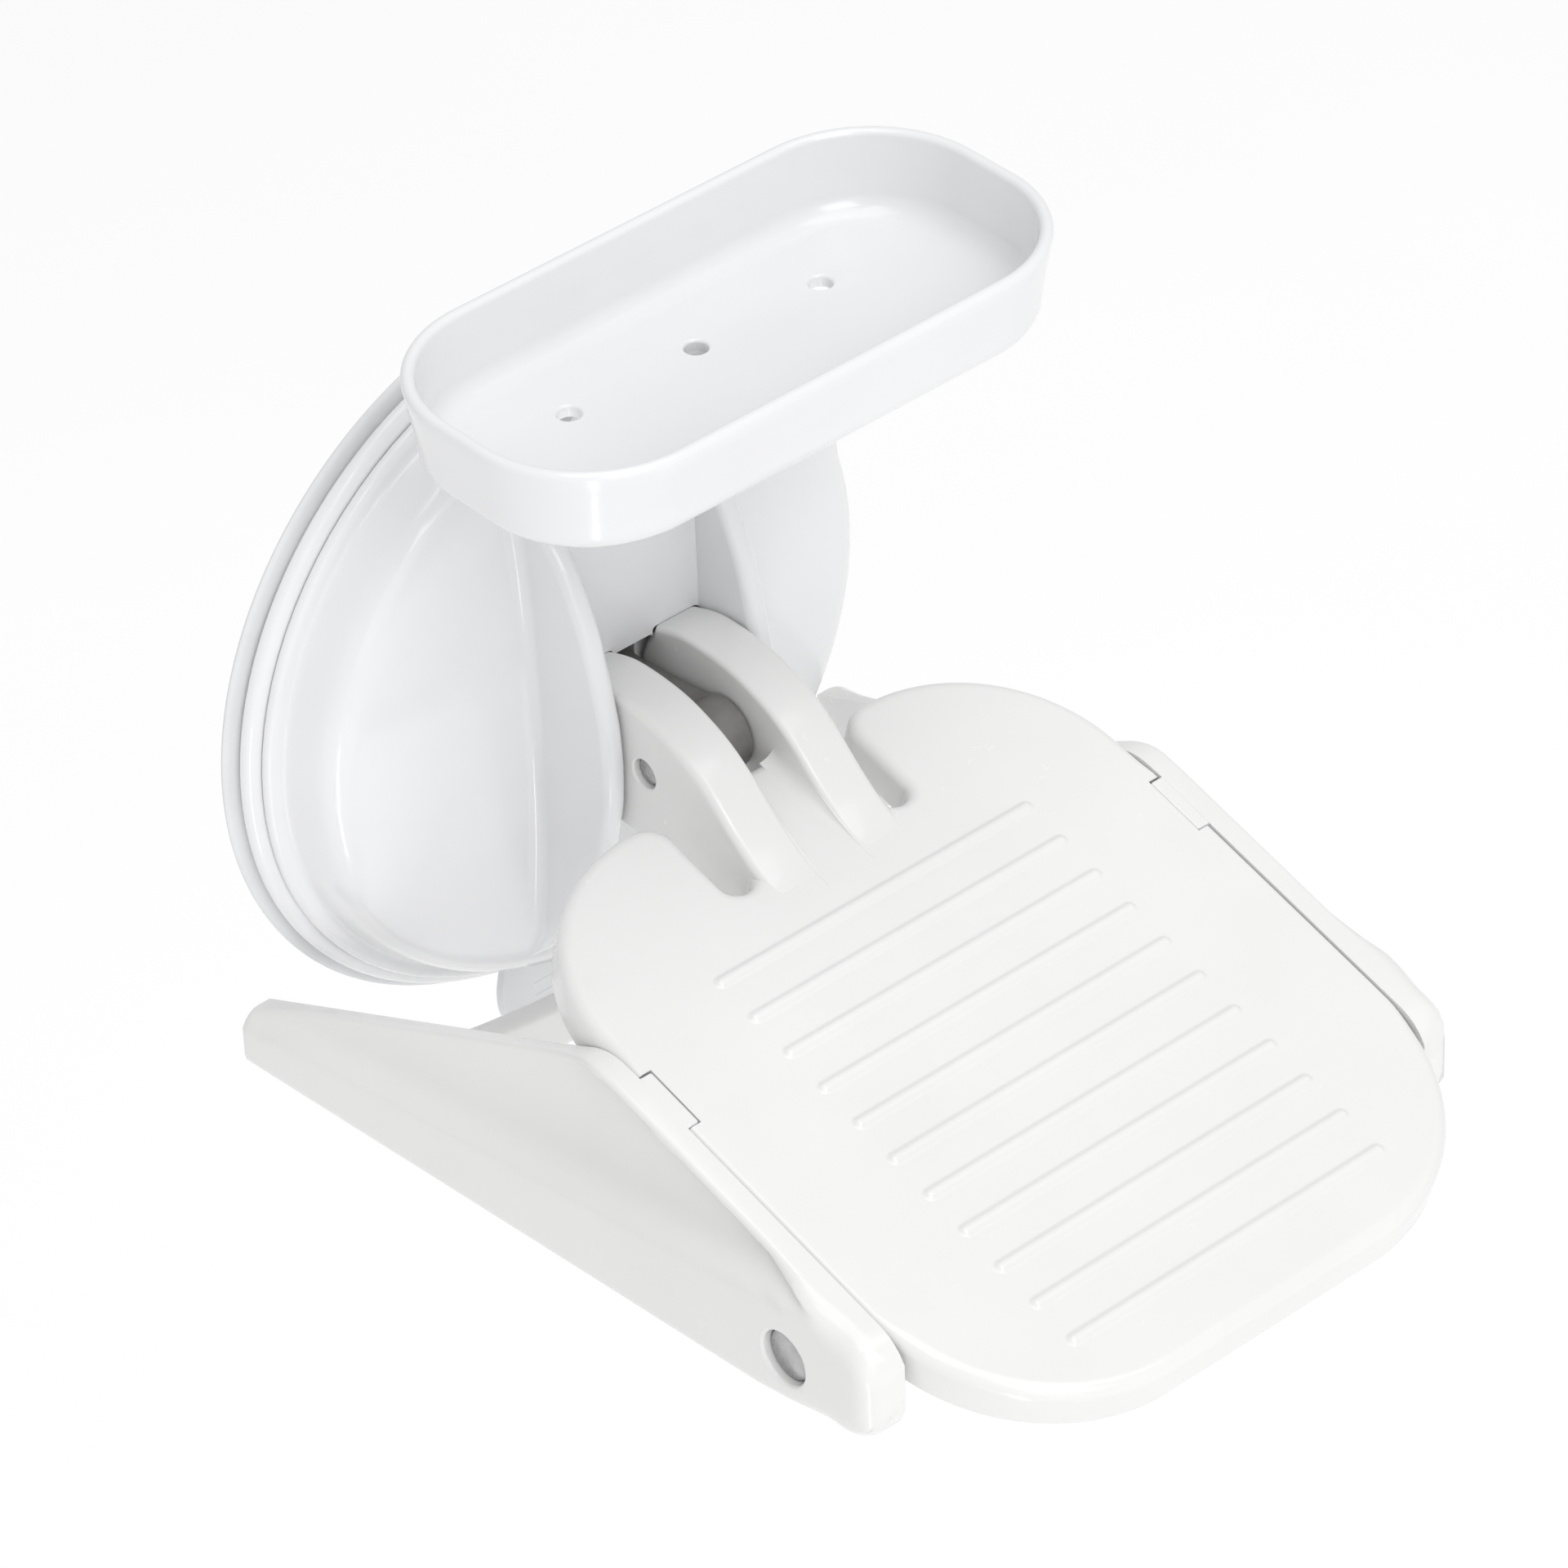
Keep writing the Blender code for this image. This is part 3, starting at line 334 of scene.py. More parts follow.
def turned(skin, profile, centre=(0.0, 0.0), steps=192, axis="Y"):
    """Turns (radius, level) points about a line through centre. Along Y the level is a depth."""
    loops = []
    for radius, level in profile:
        loop = []
        for i in range(steps):
            angle = 2 * math.pi * i / steps
            a, b = centre[0] + radius * math.cos(angle), centre[1] + radius * math.sin(angle)
            loop.append({"X": (level, a, b), "Y": (a, -level, b), "Z": (a, b, level)}[axis])
        loops.append(loop)
    closed = profile[0][0] > 0.0
    skin.loops(loops, caps=False, ring=closed)


def rounded_rod(name, radius, low, high, axis, centre, rim=0.4, steps=48):
    """A round bar with softened ends."""
    skin = Skin()
    profile = [(0.0, low)]
    profile += [(radius - inset, low + drop) for inset, drop in reversed(quarter(rim, 4))]
    profile += [(radius - inset, high - drop) for inset, drop in quarter(rim, 4)]
    profile.append((0.0, high))
    turned(skin, profile, centre, steps, axis)
    return skin.object(name)


def flared_cutter(name, radius, mouth, flare, bottom, axis, centre, steps=64):
    """A cutter for a round hole whose mouth, at the level given, is rounded outwards."""
    skin = Skin()
    way = 1 if mouth > bottom else -1
    profile = [(0.0, bottom), (radius, bottom)]
    for i in range(7):
        angle = math.pi / 2 * i / 6
        profile.append((radius + flare * (1 - math.cos(angle)), mouth - way * flare * (1 - math.sin(angle))))
    profile += [(radius + flare, mouth + way * 4.0), (0.0, mouth + way * 4.0)]
    turned(skin, profile, centre, steps, axis)
    return skin.object(name)


def box_tool(name, low, high, corner=0.3, axis="Y"):
    """A box with its long edges rounded, used to cut with."""
    index = {"X": (1, 2, 0), "Y": (0, 2, 1), "Z": (0, 1, 2)}[axis]
    a0, b0, l0 = (low[i] for i in index)
    a1, b1, l1 = (high[i] for i in index)
    outline = soften([(a0, b0), (a1, b0), (a1, b1), (a0, b1)], corner)
    place = {"X": along_x, "Y": along_y, "Z": along_z}[axis]
    skin = Skin()
    skin.loops([[place(a, b, level) for a, b in outline] for level in (l0, l1)])
    return skin.object(name)


# Materials


class Nodes:
    """A short way to make and join a material's nodes."""

    def __init__(self, name):
        self.material = bpy.data.materials.new(name)
        self.material.use_nodes = True
        self.tree = self.material.node_tree
        self.shader = self.tree.nodes["Principled BSDF"]
        self.coords = self.tree.nodes.new("ShaderNodeTexCoord").outputs["Object"]

    def link(self, a, b):
        self.tree.links.new(a, b)

    def noise(self, scale, detail=3.0, roughness=0.5):
        node = self.tree.nodes.new("ShaderNodeTexNoise")
        node.inputs["Scale"].default_value = scale
        node.inputs["Detail"].default_value = detail
        node.inputs["Roughness"].default_value = roughness
        self.link(self.coords, node.inputs["Vector"])
        return node.outputs["Fac"]

    def ramp(self, source, low, high, start=0.3, end=0.7):
        node = self.tree.nodes.new("ShaderNodeValToRGB")
        node.color_ramp.elements[0].position = start
        node.color_ramp.elements[0].color = (*low, 1.0)
        node.color_ramp.elements[1].position = end
        node.color_ramp.elements[1].color = (*high, 1.0)
        self.link(source, node.inputs["Fac"])
        return node.outputs["Color"]

    def remap(self, source, low, high):
        node = self.tree.nodes.new("ShaderNodeMapRange")
        node.inputs["From Min"].default_value = 0.3
        node.inputs["From Max"].default_value = 0.7
        node.inputs["To Min"].default_value = low
        node.inputs["To Max"].default_value = high
        self.link(source, node.inputs["Value"])
        return node.outputs["Result"]

    def bump(self, source, strength, distance, under=None):
        node = self.tree.nodes.new("ShaderNodeBump")
        node.inputs["Strength"].default_value = strength
        node.inputs["Distance"].default_value = distance
        self.link(source, node.inputs["Height"])
        if under is not None:
            self.link(under, node.inputs["Normal"])
        return node.outputs["Normal"]

    def set(self, **values):
        for key, value in values.items():
            self.shader.inputs[key.replace("_", " ")].default_value = value


def make_gloss_plastic(name, low, high, roughness):
    """Glossy moulded plastic: a faint mottle, a slow ripple of the mould and a very fine skin."""
    nodes = Nodes(name)
    nodes.link(nodes.ramp(nodes.noise(38.0, 4.0), low, high), nodes.shader.inputs["Base Color"])
    rough = nodes.remap(nodes.noise(120.0, 5.0, 0.6), roughness * 0.8, roughness * 1.25)
    nodes.link(rough, nodes.shader.inputs["Roughness"])
    ripple = nodes.bump(nodes.noise(22.0, 1.0), 0.05, 0.0004)
    skin = nodes.bump(nodes.noise(900.0, 2.0), 0.03, 0.00003, under=ripple)
    nodes.link(skin, nodes.shader.inputs["Normal"])
    nodes.set(IOR=1.5, Coat_Weight=0.25, Coat_Roughness=0.06)
    return nodes.material


def make_rubber():
    """Clear grey rubber with a dusty bloom."""
    nodes = Nodes("clear_grey_rubber_look")
    colour = nodes.ramp(nodes.noise(60.0, 4.0), (0.72, 0.73, 0.74), (0.77, 0.78, 0.79))
    nodes.link(colour, nodes.shader.inputs["Base Color"])
    nodes.link(nodes.remap(nodes.noise(300.0, 4.0), 0.32, 0.5), nodes.shader.inputs["Roughness"])
    nodes.link(nodes.bump(nodes.noise(900.0, 3.0), 0.08, 0.0001), nodes.shader.inputs["Normal"])
    nodes.set(IOR=1.45, Transmission_Weight=0.06)
    return nodes.material


def make_nylon():
    nodes = Nodes("grey_nylon_look")
    colour = nodes.ramp(nodes.noise(140.0, 5.0), (0.13, 0.127, 0.122), (0.22, 0.215, 0.208))
    nodes.link(colour, nodes.shader.inputs["Base Color"])
    nodes.link(nodes.remap(nodes.noise(400.0, 4.0), 0.38, 0.55), nodes.shader.inputs["Roughness"])
    nodes.link(nodes.bump(nodes.noise(1500.0, 4.0), 0.15, 0.0001), nodes.shader.inputs["Normal"])
    nodes.set(IOR=1.5)
    return nodes.material


def make_steel():
    """Turned steel: fine rings across the pins and a few scuffs."""
    nodes = Nodes("steel_look")
    wave = nodes.tree.nodes.new("ShaderNodeTexWave")
    wave.bands_direction = "X"
    wave.inputs["Scale"].default_value = 1400.0
    wave.inputs["Distortion"].default_value = 3.0
    nodes.link(nodes.coords, wave.inputs["Vector"])
    colour = nodes.ramp(nodes.noise(220.0, 5.0), (0.34, 0.34, 0.345), (0.50, 0.50, 0.505))
    nodes.link(colour, nodes.shader.inputs["Base Color"])
    nodes.link(nodes.remap(nodes.noise(700.0, 4.0), 0.2, 0.38), nodes.shader.inputs["Roughness"])
    nodes.link(nodes.bump(wave.outputs["Fac"], 0.1, 0.00005), nodes.shader.inputs["Normal"])
    nodes.set(Metallic=1.0)
    return nodes.material


def make_floor_paint():
    nodes = Nodes("floor_paint")
    colour = nodes.ramp(nodes.noise(3.0, 3.0), (0.985, 0.985, 0.985), (0.995, 0.995, 0.995))
    nodes.link(colour, nodes.shader.inputs["Base Color"])
    nodes.link(nodes.remap(nodes.noise(40.0, 4.0), 0.75, 0.9), nodes.shader.inputs["Roughness"])
    nodes.set(Specular_IOR_Level=0.1)
    return nodes.material


# Pad, ring and dome cover


def make_pad(material):
    """The pad with its middle pulled off the wall, a thin lip with a soft bead, and the peel tab."""
    profile = [(0.0, 8.2), (29.0, 8.2), (31.0, 8.0), (33.2, 7.0), (35.2, 5.6), (37.4, 4.1), (40.0, 2.9),
               (43.0, 2.25)]
    profile += [(46.0, 2.0), (60.0, 1.95), (61.6, 1.9), (62.6, 1.6), (63.4, 1.25), (64.2, 1.15),
                (64.75, 0.95)]
    profile += [(65.0, 0.6), (64.95, 0.25), (64.6, 0.0), (42.5, 0.0)]
    for i in range(5):
        outer = 61.0 - 4.0 * i
        profile[-1:-1] = [(outer + 0.45, 0.0), (outer, 0.22), (outer - 0.45, 0.0)]
    profile += [(41.0, 0.2), (38.5, 1.1), (36.0, 2.3), (33.6, 3.8), (31.4, 4.8), (29.0, 5.1), (0.0, 5.2)]
    skin = Skin()
    turned(skin, profile)
    pad = skin.object("suction_pad_rubber")
    half = smooth_curve([(-11.8, -56.0), (-11.8, -62.0), (-13.0, -69.5), (-11.8, -75.0), (-7.1, -79.2),
                         (0.0, -80.5)], 8)
    outline = half + [(-x, z) for x, z in reversed(half[:-1])]
    tab = Skin()
    rounded_slab(tab, outline, -1.85, -0.05, 0.6, 0.25, along_y, rest=0.4)
    for z in (-70.0, -72.6, -75.2):
        grip = [(-6.5, z - 0.5), (6.5, z - 0.5), (6.5, z + 0.5), (-6.5, z + 0.5)]
        rounded_slab(tab, soften(grip, 0.45), -1.9, -1.2, 0.25, 0.1, along_y, rest=0.05)
    finish_piece(tab.object("pad_peel_tab"), material, "base", "clear_grey_rubber")
    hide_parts("suction_pad")
    pad.data.materials.append(material)
    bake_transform(pad)


def make_ring(material):
    profile = [(45.5, 2.4), (62.6, 2.4), (63.0, 2.55), (63.2, 2.9), (63.15, 3.4), (62.95, 3.9),
               (62.6, 4.3), (62.1, 4.6)]
    profile += [(61.6, 4.8), (61.2, 4.95), (60.8, 5.03), (60.2, 5.08), (50.0, 5.08), (45.5, 5.08)]
    skin = Skin()
    turned(skin, profile)
    ring = skin.object("clamp_ring_shell")
    tools = []
    for i in range(4):
        angle = math.radians(45 + 90 * i)
        place = (RING_SCREW_CIRCLE * math.cos(angle), RING_SCREW_CIRCLE * math.sin(angle))
        tools.append(rounded_rod(f"sink_{i}", 3.1, -4.2, -1.0, "Y", place))
        tools.append(rounded_rod(f"hole_{i}", 1.7, -6.0, -1.0, "Y", place))
    for tool in tools:
        tool.scale.y = -1.0
    bpy.context.view_layer.update()
    apply_cut(ring, *tools)
    finish_piece(ring, material, "base", "cool_white_plastic", "clamp_ring")


DOME_CURVE = smooth_curve(
    [(0.0, 21.8), (15.0, 21.55), (30.0, 20.75), (42.0, 19.4), (49.0, 18.1), (52.4, 17.0), (54.6, 15.6),
     (55.7, 14.0)], 10
)
CHEEK_POINTS = [(0.0, 39.4), (7.0, 39.0), (13.0, 37.8), (19.0, 36.4), (25.0, 34.6), (34.2, 30.0),
                (41.0, 24.6)]
CHEEK_CURVE = smooth_curve(CHEEK_POINTS + [(46.0, 20.0), (49.0, 16.0)], 8)


def dome_depth(x, z):
    """Depth of the cover's front at a point: dome, cheek ribs and channel, with fillets where they meet."""
    base = table_value(DOME_CURVE, math.hypot(x, z))
    cheek = table_value(CHEEK_CURVE, abs(z))
    top_end = smoothstep(51.0, 47.0, z) if z > 0 else 0.0
    block = base + (CHANNEL_FLOOR - base) * top_end
    cheek = max(cheek, block, base)
    floor = max(base, min(CHANNEL_FLOOR, cheek))
    across = abs(x)
    if across < CHANNEL_HALF:
        rise = min(1.3, 0.5 * (cheek - floor))
        past = across - (CHANNEL_HALF - rise)
        return floor + (rise - math.sqrt(rise**2 - past**2) if past > 0 else 0.0)
    if across <= CHEEK_OUTER:
        inner_round = min(CHEEK_ROUND, 0.5 * (cheek - floor))
        outer_round = min(CHEEK_ROUND, 0.5 * (cheek - base))
        inside, outside = across - CHANNEL_HALF, CHEEK_OUTER - across
        depth = cheek
        if inside < inner_round:
            depth = cheek - inner_round + math.sqrt(max(0.0, inner_round**2 - (inner_round - inside) ** 2))
        if outside < outer_round:
            depth = cheek - outer_round + math.sqrt(max(0.0, outer_round**2 - (outer_round - outside) ** 2))
        return depth
    rise = min(2.6, 0.5 * (cheek - base))
    past = across - CHEEK_OUTER
    return base + (rise - math.sqrt(rise**2 - (rise - past) ** 2) if past < rise else 0.0)


def dome_columns():
    """Positions across the dome, close together where the cheek ribs turn."""
    near = [0.0, 3.0, 6.0, 9.0, 11.0, 12.3]
    near += [CHANNEL_HALF - 1.3 * math.cos(math.pi / 2 * i / 6) for i in range(7)]
    near += [CHANNEL_HALF + 0.015 + CHEEK_ROUND * (1 - math.cos(math.pi / 2 * i / 7)) for i in range(8)]
    near += [CHEEK_OUTER - 0.015 - CHEEK_ROUND * (1 - math.cos(math.pi / 2 * i / 7)) for i in range(8)][::-1]
    near += [CHEEK_OUTER + 0.01 + 2.6 * (1 - math.cos(math.pi / 2 * i / 8)) for i in range(9)]
    far = [DISC_RADIUS * math.sin(math.radians(a)) for a in range(26, 87, 4)]
    half = near + far
    return [-x for x in reversed(half[1:])] + half


def make_dome(material):
    rows = 150
    columns = dome_columns()
    skin = Skin()
    grid = []
    for x in columns:
        reach = math.sqrt(DISC_RADIUS**2 - x**2)
        line = []
        for k in range(rows + 1):
            z = -reach * math.cos(math.pi * k / rows)
            line.append(len(skin.points))
            skin.points.append((x, -dome_depth(x, z), z))
        grid.append(line)
    for first, second in zip(grid, grid[1:]):
        for k in range(rows):
            skin.faces.append((first[k], first[k + 1], second[k + 1], second[k]))
    poles = []
    for sign in (-1, 1):
        poles.append(len(skin.points))
        skin.points.append((sign * DISC_RADIUS, -dome_depth(sign * DISC_RADIUS, 0.0), 0.0))
    for k in range(rows):
        skin.faces.append((poles[0], grid[0][k], grid[0][k + 1]))
        skin.faces.append((poles[1], grid[-1][k], grid[-1][k + 1]))
    rim = [line[0] for line in grid] + [poles[1]] + [line[-1] for line in reversed(grid)] + [poles[0]]
    wall = [(55.35, 14.8), (55.85, 13.9), (56.2, 13.0), (56.6, 11.5), (57.1, 9.6), (57.45, 8.3),
            (57.65, 7.75)]
    wall += [(57.95, 7.35), (58.4, 7.15), (59.0, 7.1), (59.8, 7.0), (60.4, 6.75), (60.75, 6.35),
             (60.9, 5.9), (60.9, 5.5)]
    wall += [(60.7, 5.25), (60.3, 5.2), (54.8, 5.2), (54.6, 5.4), (53.6, 12.2), (51.5, 13.4),
             (44.0, 16.0), (30.0, 18.0)]
    previous = rim
    for radius, depth in wall:
        ring = []
        for index in rim:
            x, _, z = skin.points[index]
            share = radius / DISC_RADIUS
            ring.append(len(skin.points))
            skin.points.append((x * share, -depth, z * share))
        count = len(rim)
        for i in range(count):
            j = (i + 1) % count
            skin.faces.append((previous[i], previous[j], ring[j], ring[i]))
        previous = ring
    skin.faces.append(tuple(previous))
    dome = skin.object("dome_cover_shell")
    tools = []
    for side in (-1, 1):
        a, b = sorted((side * 4.2, side * 13.85))
        low = (a, -CHANNEL_FLOOR - 3, POCKET_BOTTOM)
        high = (b, -CHANNEL_FLOOR + POCKET_DEPTH, POCKET_TOP)
        tools.append(box_tool(f"pocket_{side}", low, high, 0.9))
    tools.append(box_tool("stud_hole", (-4.2, -CHANNEL_FLOOR - 3, -5.0), (4.2, -9.0, 9.2), 0.8))
    apply_cut(dome, *tools)
    finish_piece(dome, material, "base", "cool_white_plastic", "dome_cover")


# Soap dish and its bracket


def dish_loop(inset, height, steps=24):
    a, b, corner = DISH_HALF_LENGTH - inset, DISH_HALF_WIDTH - inset, DISH_CORNER - inset
    points = []
    for (ca, cb), start in (((1, 1), 0), ((-1, 1), 90), ((-1, -1), 180), ((1, -1), 270)):
        centre = (ca * (a - corner), DISH_MIDDLE_Y + cb * (b - corner))
        points += arc(centre, corner, start, start + 90, steps)
    return [(x, y, height) for x, y in points]


def make_dish(material):
    rows = [(9.0, DISH_BOTTOM), (6.0, DISH_BOTTOM)]
    rows += [(1.9 + 3.2 * (1 - math.sin(a)), 76.6 - 3.2 * math.cos(a)) for a in quarter_angles(7)]
    rows += [(1.5, 79.5), (0.9, 83.0), (0.4, 86.0)]
    rows += [(1.1 * (1 - math.cos(a)), 88.0 + 1.1 * math.sin(a)) for a in quarter_angles(6)]
    rows += [(2.2 - 1.1 * (1 - math.cos(a)), 88.0 + 1.1 * math.sin(a)) for a in quarter_angles(6)[-2::-1]]
    rows += [(2.5, 86.0), (2.9, 83.0), (3.2, 80.2)]
    rows += [(3.4 + 4.0 * (1 - math.cos(a)), 79.4 - 4.0 * math.sin(a)) for a in quarter_angles(9)]
    rows += [(8.0, DISH_FLOOR), (12.0, DISH_FLOOR)]
    skin = Skin()
    skin.loops([dish_loop(inset, height) for inset, height in rows])
    dish = skin.object("soap_dish_shell")
    tools = [flared_cutter(f"drain_{i}", DRAIN_RADIUS, DISH_FLOOR, 0.6, 70.0, "Z", (i * DRAIN_SPACING, DRAIN_Y))
             for i in (-1, 0, 1)]
    apply_cut(dish, *tools)
    finish_piece(dish, material, "base", "cool_white_plastic", "soap_dish")
    for side in (-1, 1):
        boss = Skin()
        profile = [(1.6, 69.95), (3.2, 69.95), (3.5, 70.1), (3.6, 70.4), (3.7, 72.2), (4.1, 73.0),
                   (5.0, 73.6), (1.6, 73.6)]
        turned(boss, profile, (side * DISH_SCREW_X, DISH_SCREW_Y), 64, "Z")
        name = "left" if side < 0 else "right"
        finish_piece(boss.object(f"dish_boss_{name}"), material, "base", "cool_white_plastic")


def make_bracket(material):
    outer = smooth_curve([(-28.3, 39.6), (-28.3, 48.0), (-30.5, 56.0), (-36.5, 63.0), (-46.0, 66.4),
                          (-62.0, 66.4)], 8)
    inner = smooth_curve([(-62.0, 69.6), (-44.0, 69.6), (-33.6, 66.2), (-26.6, 58.0), (-25.1, 49.6),
                          (-25.1, 39.6)], 8)
    skin = Skin()
    outline = soften(outer + inner, 0.9, threshold=40)
    rounded_slab(skin, outline, -BRACKET_HALF_WIDTH, BRACKET_HALF_WIDTH, 0.7, 0.7, along_x, rest=0.2)
    bracket = skin.object("dish_bracket_shell")
    finish_piece(bracket, material, "base", "cool_white_plastic", "dish_bracket")


def make_screw(name, node, place, axis, base, way, shaft_end, material):
    """A pan-head screw with a cross recess. base is the level that its head bears on."""
    skin = Skin()
    head = [(0.0, 1.8), (0.9, 1.78), (1.7, 1.6), (2.3, 1.2), (2.62, 0.7), (2.7, 0.2), (2.6, 0.0), (1.3, 0.0)]
    profile = [(r, base + way * h) for r, h in head]
    length = abs(shaft_end - base)
    turns = int(length / 0.9)
    for i in range(turns * 2):
        radius = 1.3 if i % 2 else 1.05
        profile.append((radius, base - way * (0.4 + 0.45 * i)))
    profile += [(0.5, shaft_end + way * 0.2), (0.0, shaft_end)]
    turned(skin, [(r, -level if axis == "Y" else level) for r, level in profile], place, 40, axis)
    screw = skin.object(name)
    top = base + way * 1.8
    for turn in (0, 1):
        wide, thin = (1.5, 0.28) if turn else (0.28, 1.5)
        ends = sorted((top + way, top - way * 1.0))
        low, high = (place[0] - wide, place[1] - thin), (place[0] + wide, place[1] + thin)
        if axis == "Y":
            low, high = (low[0], ends[0], low[1]), (high[0], ends[1], high[1])
        else:
            low, high = (*low, ends[0]), (*high, ends[1])
        apply_cut(screw, box_tool(f"{name}_cross", low, high, 0.08, axis))
    finish_piece(screw, material, "base", "steel", node)


def make_screws(material):
    for i, side in enumerate((-1, 1)):
        place = (side * DISH_SCREW_X, DISH_SCREW_Y)
        make_screw(f"dish_fixing_{i + 1}", f"dish_screw_{i + 1}", place, "Z", 66.1, -1, 73.2, material)
        place = (side * BRACKET_SCREW_X, BRACKET_SCREW_Z)
        make_screw(f"bracket_fixing_{i + 1}", f"bracket_screw_{i + 1}", place, "Y", -28.6, -1, -17.0, material)


# Stud and pins


def make_stud(material):
    skin = Skin()
    profile = [(0.0, 8.5), (29.6, 8.5), (30.0, 8.8), (30.0, 10.4), (29.6, 10.9), (28.8, 11.15), (12.0, 11.6)]
    profile += [(9.6, 11.9), (8.4, 12.6), (8.0, 13.4), (0.0, 13.4)]
    turned(skin, profile, steps=128)
    loops = []
    for level, half in ((11.0, 3.5), (24.0, 3.6), (28.0, 3.9), (34.0, 4.6), (41.0, 5.6)):
        shank = soften([(-3.8, -3.5), (3.8, -3.5), (3.8, half), (-3.8, half)], 0.8)
        loops.append([(a, -level, b) for a, b in shank])
    skin.loops(loops)
    eye = arc((-HINGE_DEPTH, 0.0), 6.4, 0, 360, 96, closed=True)
    rounded_slab(skin, eye, -4.1, 4.1, 0.8, 0.8, along_x)
    stud = skin.object("pull_stud_body")
    apply_cut(stud, rounded_rod("eye_bore", PIN_BORE, -9.0, 9.0, "X", (-HINGE_DEPTH, 0.0)))
    finish_piece(stud, material, "stud", "grey_nylon", "pull_stud")


def make_pins(material):
    pin = rounded_rod("hinge_pin_turned", PIN_RADIUS, -12.6, 12.6, "X", (-HINGE_DEPTH, 0.0), rim=0.5)
    finish_piece(pin, material, "stud", "steel", "hinge_pin")
    y, z = plate_side(PIN_S, PIN_N)
    for side, name in ((-1, "left"), (1, "right")):
        profile = [(0.0, 44.8), (1.9, 44.8), (2.4, 45.1), (2.5, 45.4), (2.5, 46.3), (2.15, 46.35),
                   (2.15, 47.25), (2.5, 47.3)]
        profile += [(2.5, 59.3), (4.1, 59.4), (4.4, 59.5), (4.5, 59.8), (4.5, 60.9), (4.35, 61.15),
                    (4.0, 61.3), (0.0, 61.3)]
        skin = Skin()
        turned(skin, [(r, side * level) for r, level in profile], (y, z), 64, "X")
        brace_pin = skin.object(f"brace_pin_{name}_turned")
        finish_piece(brace_pin, material, "foot_plate", "steel", f"brace_pin_{name}")
        outline = []
        for i in range(97):
            angle = -60 + 300 * i / 96
            lobe = 0.5 + 0.5 * math.cos(math.radians(3 * (angle - 90)))
            outline.append(on_circle((y, z), 3.5 + 0.9 * smoothstep(0.1, 0.6, lobe), angle))
        outline += [on_circle((y, z), PIN_BORE, 232 - 284 * i / 40) for i in range(41)]
        ends = sorted((side * 46.4, side * 47.2))
        clip = Skin()
        rounded_slab(clip, outline, *ends, 0.12, 0.12, along_x, steps=2, rest=0.05)
        spring = clip.object(f"pin_clip_{name}_spring")
        finish_piece(spring, material, "foot_plate", "steel", f"pin_clip_{name}")


# Foot plate


def plate_outline():
    slot_centre = (EAR_OUTER + SLOT_OUTER) / 2
    slot_radius = (SLOT_OUTER - EAR_OUTER) / 2
    right = [(2.0, WEB_BACK), (8.0, WEB_BACK), (EAR_OUTER - 1.3, WEB_BACK), (EAR_OUTER - 1.3, SLOT_END - 5.2)]
    right += [(EAR_OUTER, SLOT_END - 3.6)]
    right += arc((slot_centre, SLOT_END - slot_radius), slot_radius, 180, 0, 24)
    right += arc((SLOT_OUTER + 5.0, PLATE_BACK + 5.0), 5.0, 180, 270, 16)
    right += arc((PLATE_HALF - 30.0, PLATE_BACK + 30.0), 30.0, 272, 360, 44)
    right += [(PLATE_HALF, 3.0 + 3.0 * i) for i in range(19)]
    right += arc((PLATE_HALF - 33.0, PLATE_FRONT - 33.0), 33.0, 0, 90, 44)
    return right + [(-x, s) for x, s in reversed(right)]


def make_plate(material):
    outline = plate_outline()
    inner = inset_loop(outline, 2.8)
    rows = [(1.1 / 2.8, -PLATE_THICK, 0.0), (0.7 / 2.8, -PLATE_THICK, 0.0)]
    rows += [(inset / 2.8, -PLATE_THICK + drop, 0.0) for inset, drop in reversed(quarter(0.7, 5))]
    rows += [(2.3 * inset / 2.8, 0.0, -2.3 * drop) for inset, drop in quarter(1.0, 9)]
    rows.append((1.0, 0.0, 0.0))
    skin = Skin()
    loops = []
    for share, level, drop in rows:
        loop = []
        for (x0, s0), (x1, s1) in zip(outline, inner):
            beside = smoothstep(0.0, 6.0, s0) * (1 - smoothstep(60.0, 70.0, s0)) * (abs(x0) > PLATE_HALF - 4.0)
            soft = 1 - 0.62 * beside if level == 0.0 and share < 1.0 else 1.0
            x, s = x0 + (x1 - x0) * share * soft, s0 + (s1 - s0) * share * soft
            loop.append(plate_place(x, s, level + drop * soft))
        loops.append(loop)
    skin.loops(loops)
    plate = skin.object("foot_plate_shell")
    half = [(26.0, -8.0), (40.0, -16.0), (49.0, -2.0)]
    half += arc((PLATE_HALF - 33.0, PLATE_FRONT - 33.0), 27.0, 0, 90, 20)
    hollow = soften(half + [(-x, s) for x, s in reversed(half)], 2.5, threshold=25)
    tool = Skin()
    tool.loops([[plate_place(x, s, n) for x, s in hollow] for n in (-3.0, -PLATE_THICK - 2)])
    tools = [tool.object("hollow")]
    for side in (-1, 1):
        notch = Skin()
        profile = [(19.0, 2.0), (7.0, 2.0), (7.0, 0.0), (4.975, -9.0), (19.0, -9.0)]
        notch.loops([[plate_place(side * x, s, n) for s, n in profile] for x in (52.6, 57.0)])
        tools.append(notch.object(f"notch_{side}"))
    apply_cut(plate, *tools)
    finish_piece(plate, material, "foot_plate", "warm_white_plastic", "foot_plate")


def rib_loop(s, radius):
    """The round-ended outline of one rib at s, as (x, s) points."""
    return arc((RIB_HALF_LENGTH, s), radius, -90, 90, 12) + arc((-RIB_HALF_LENGTH, s), radius, 90, 270, 12)


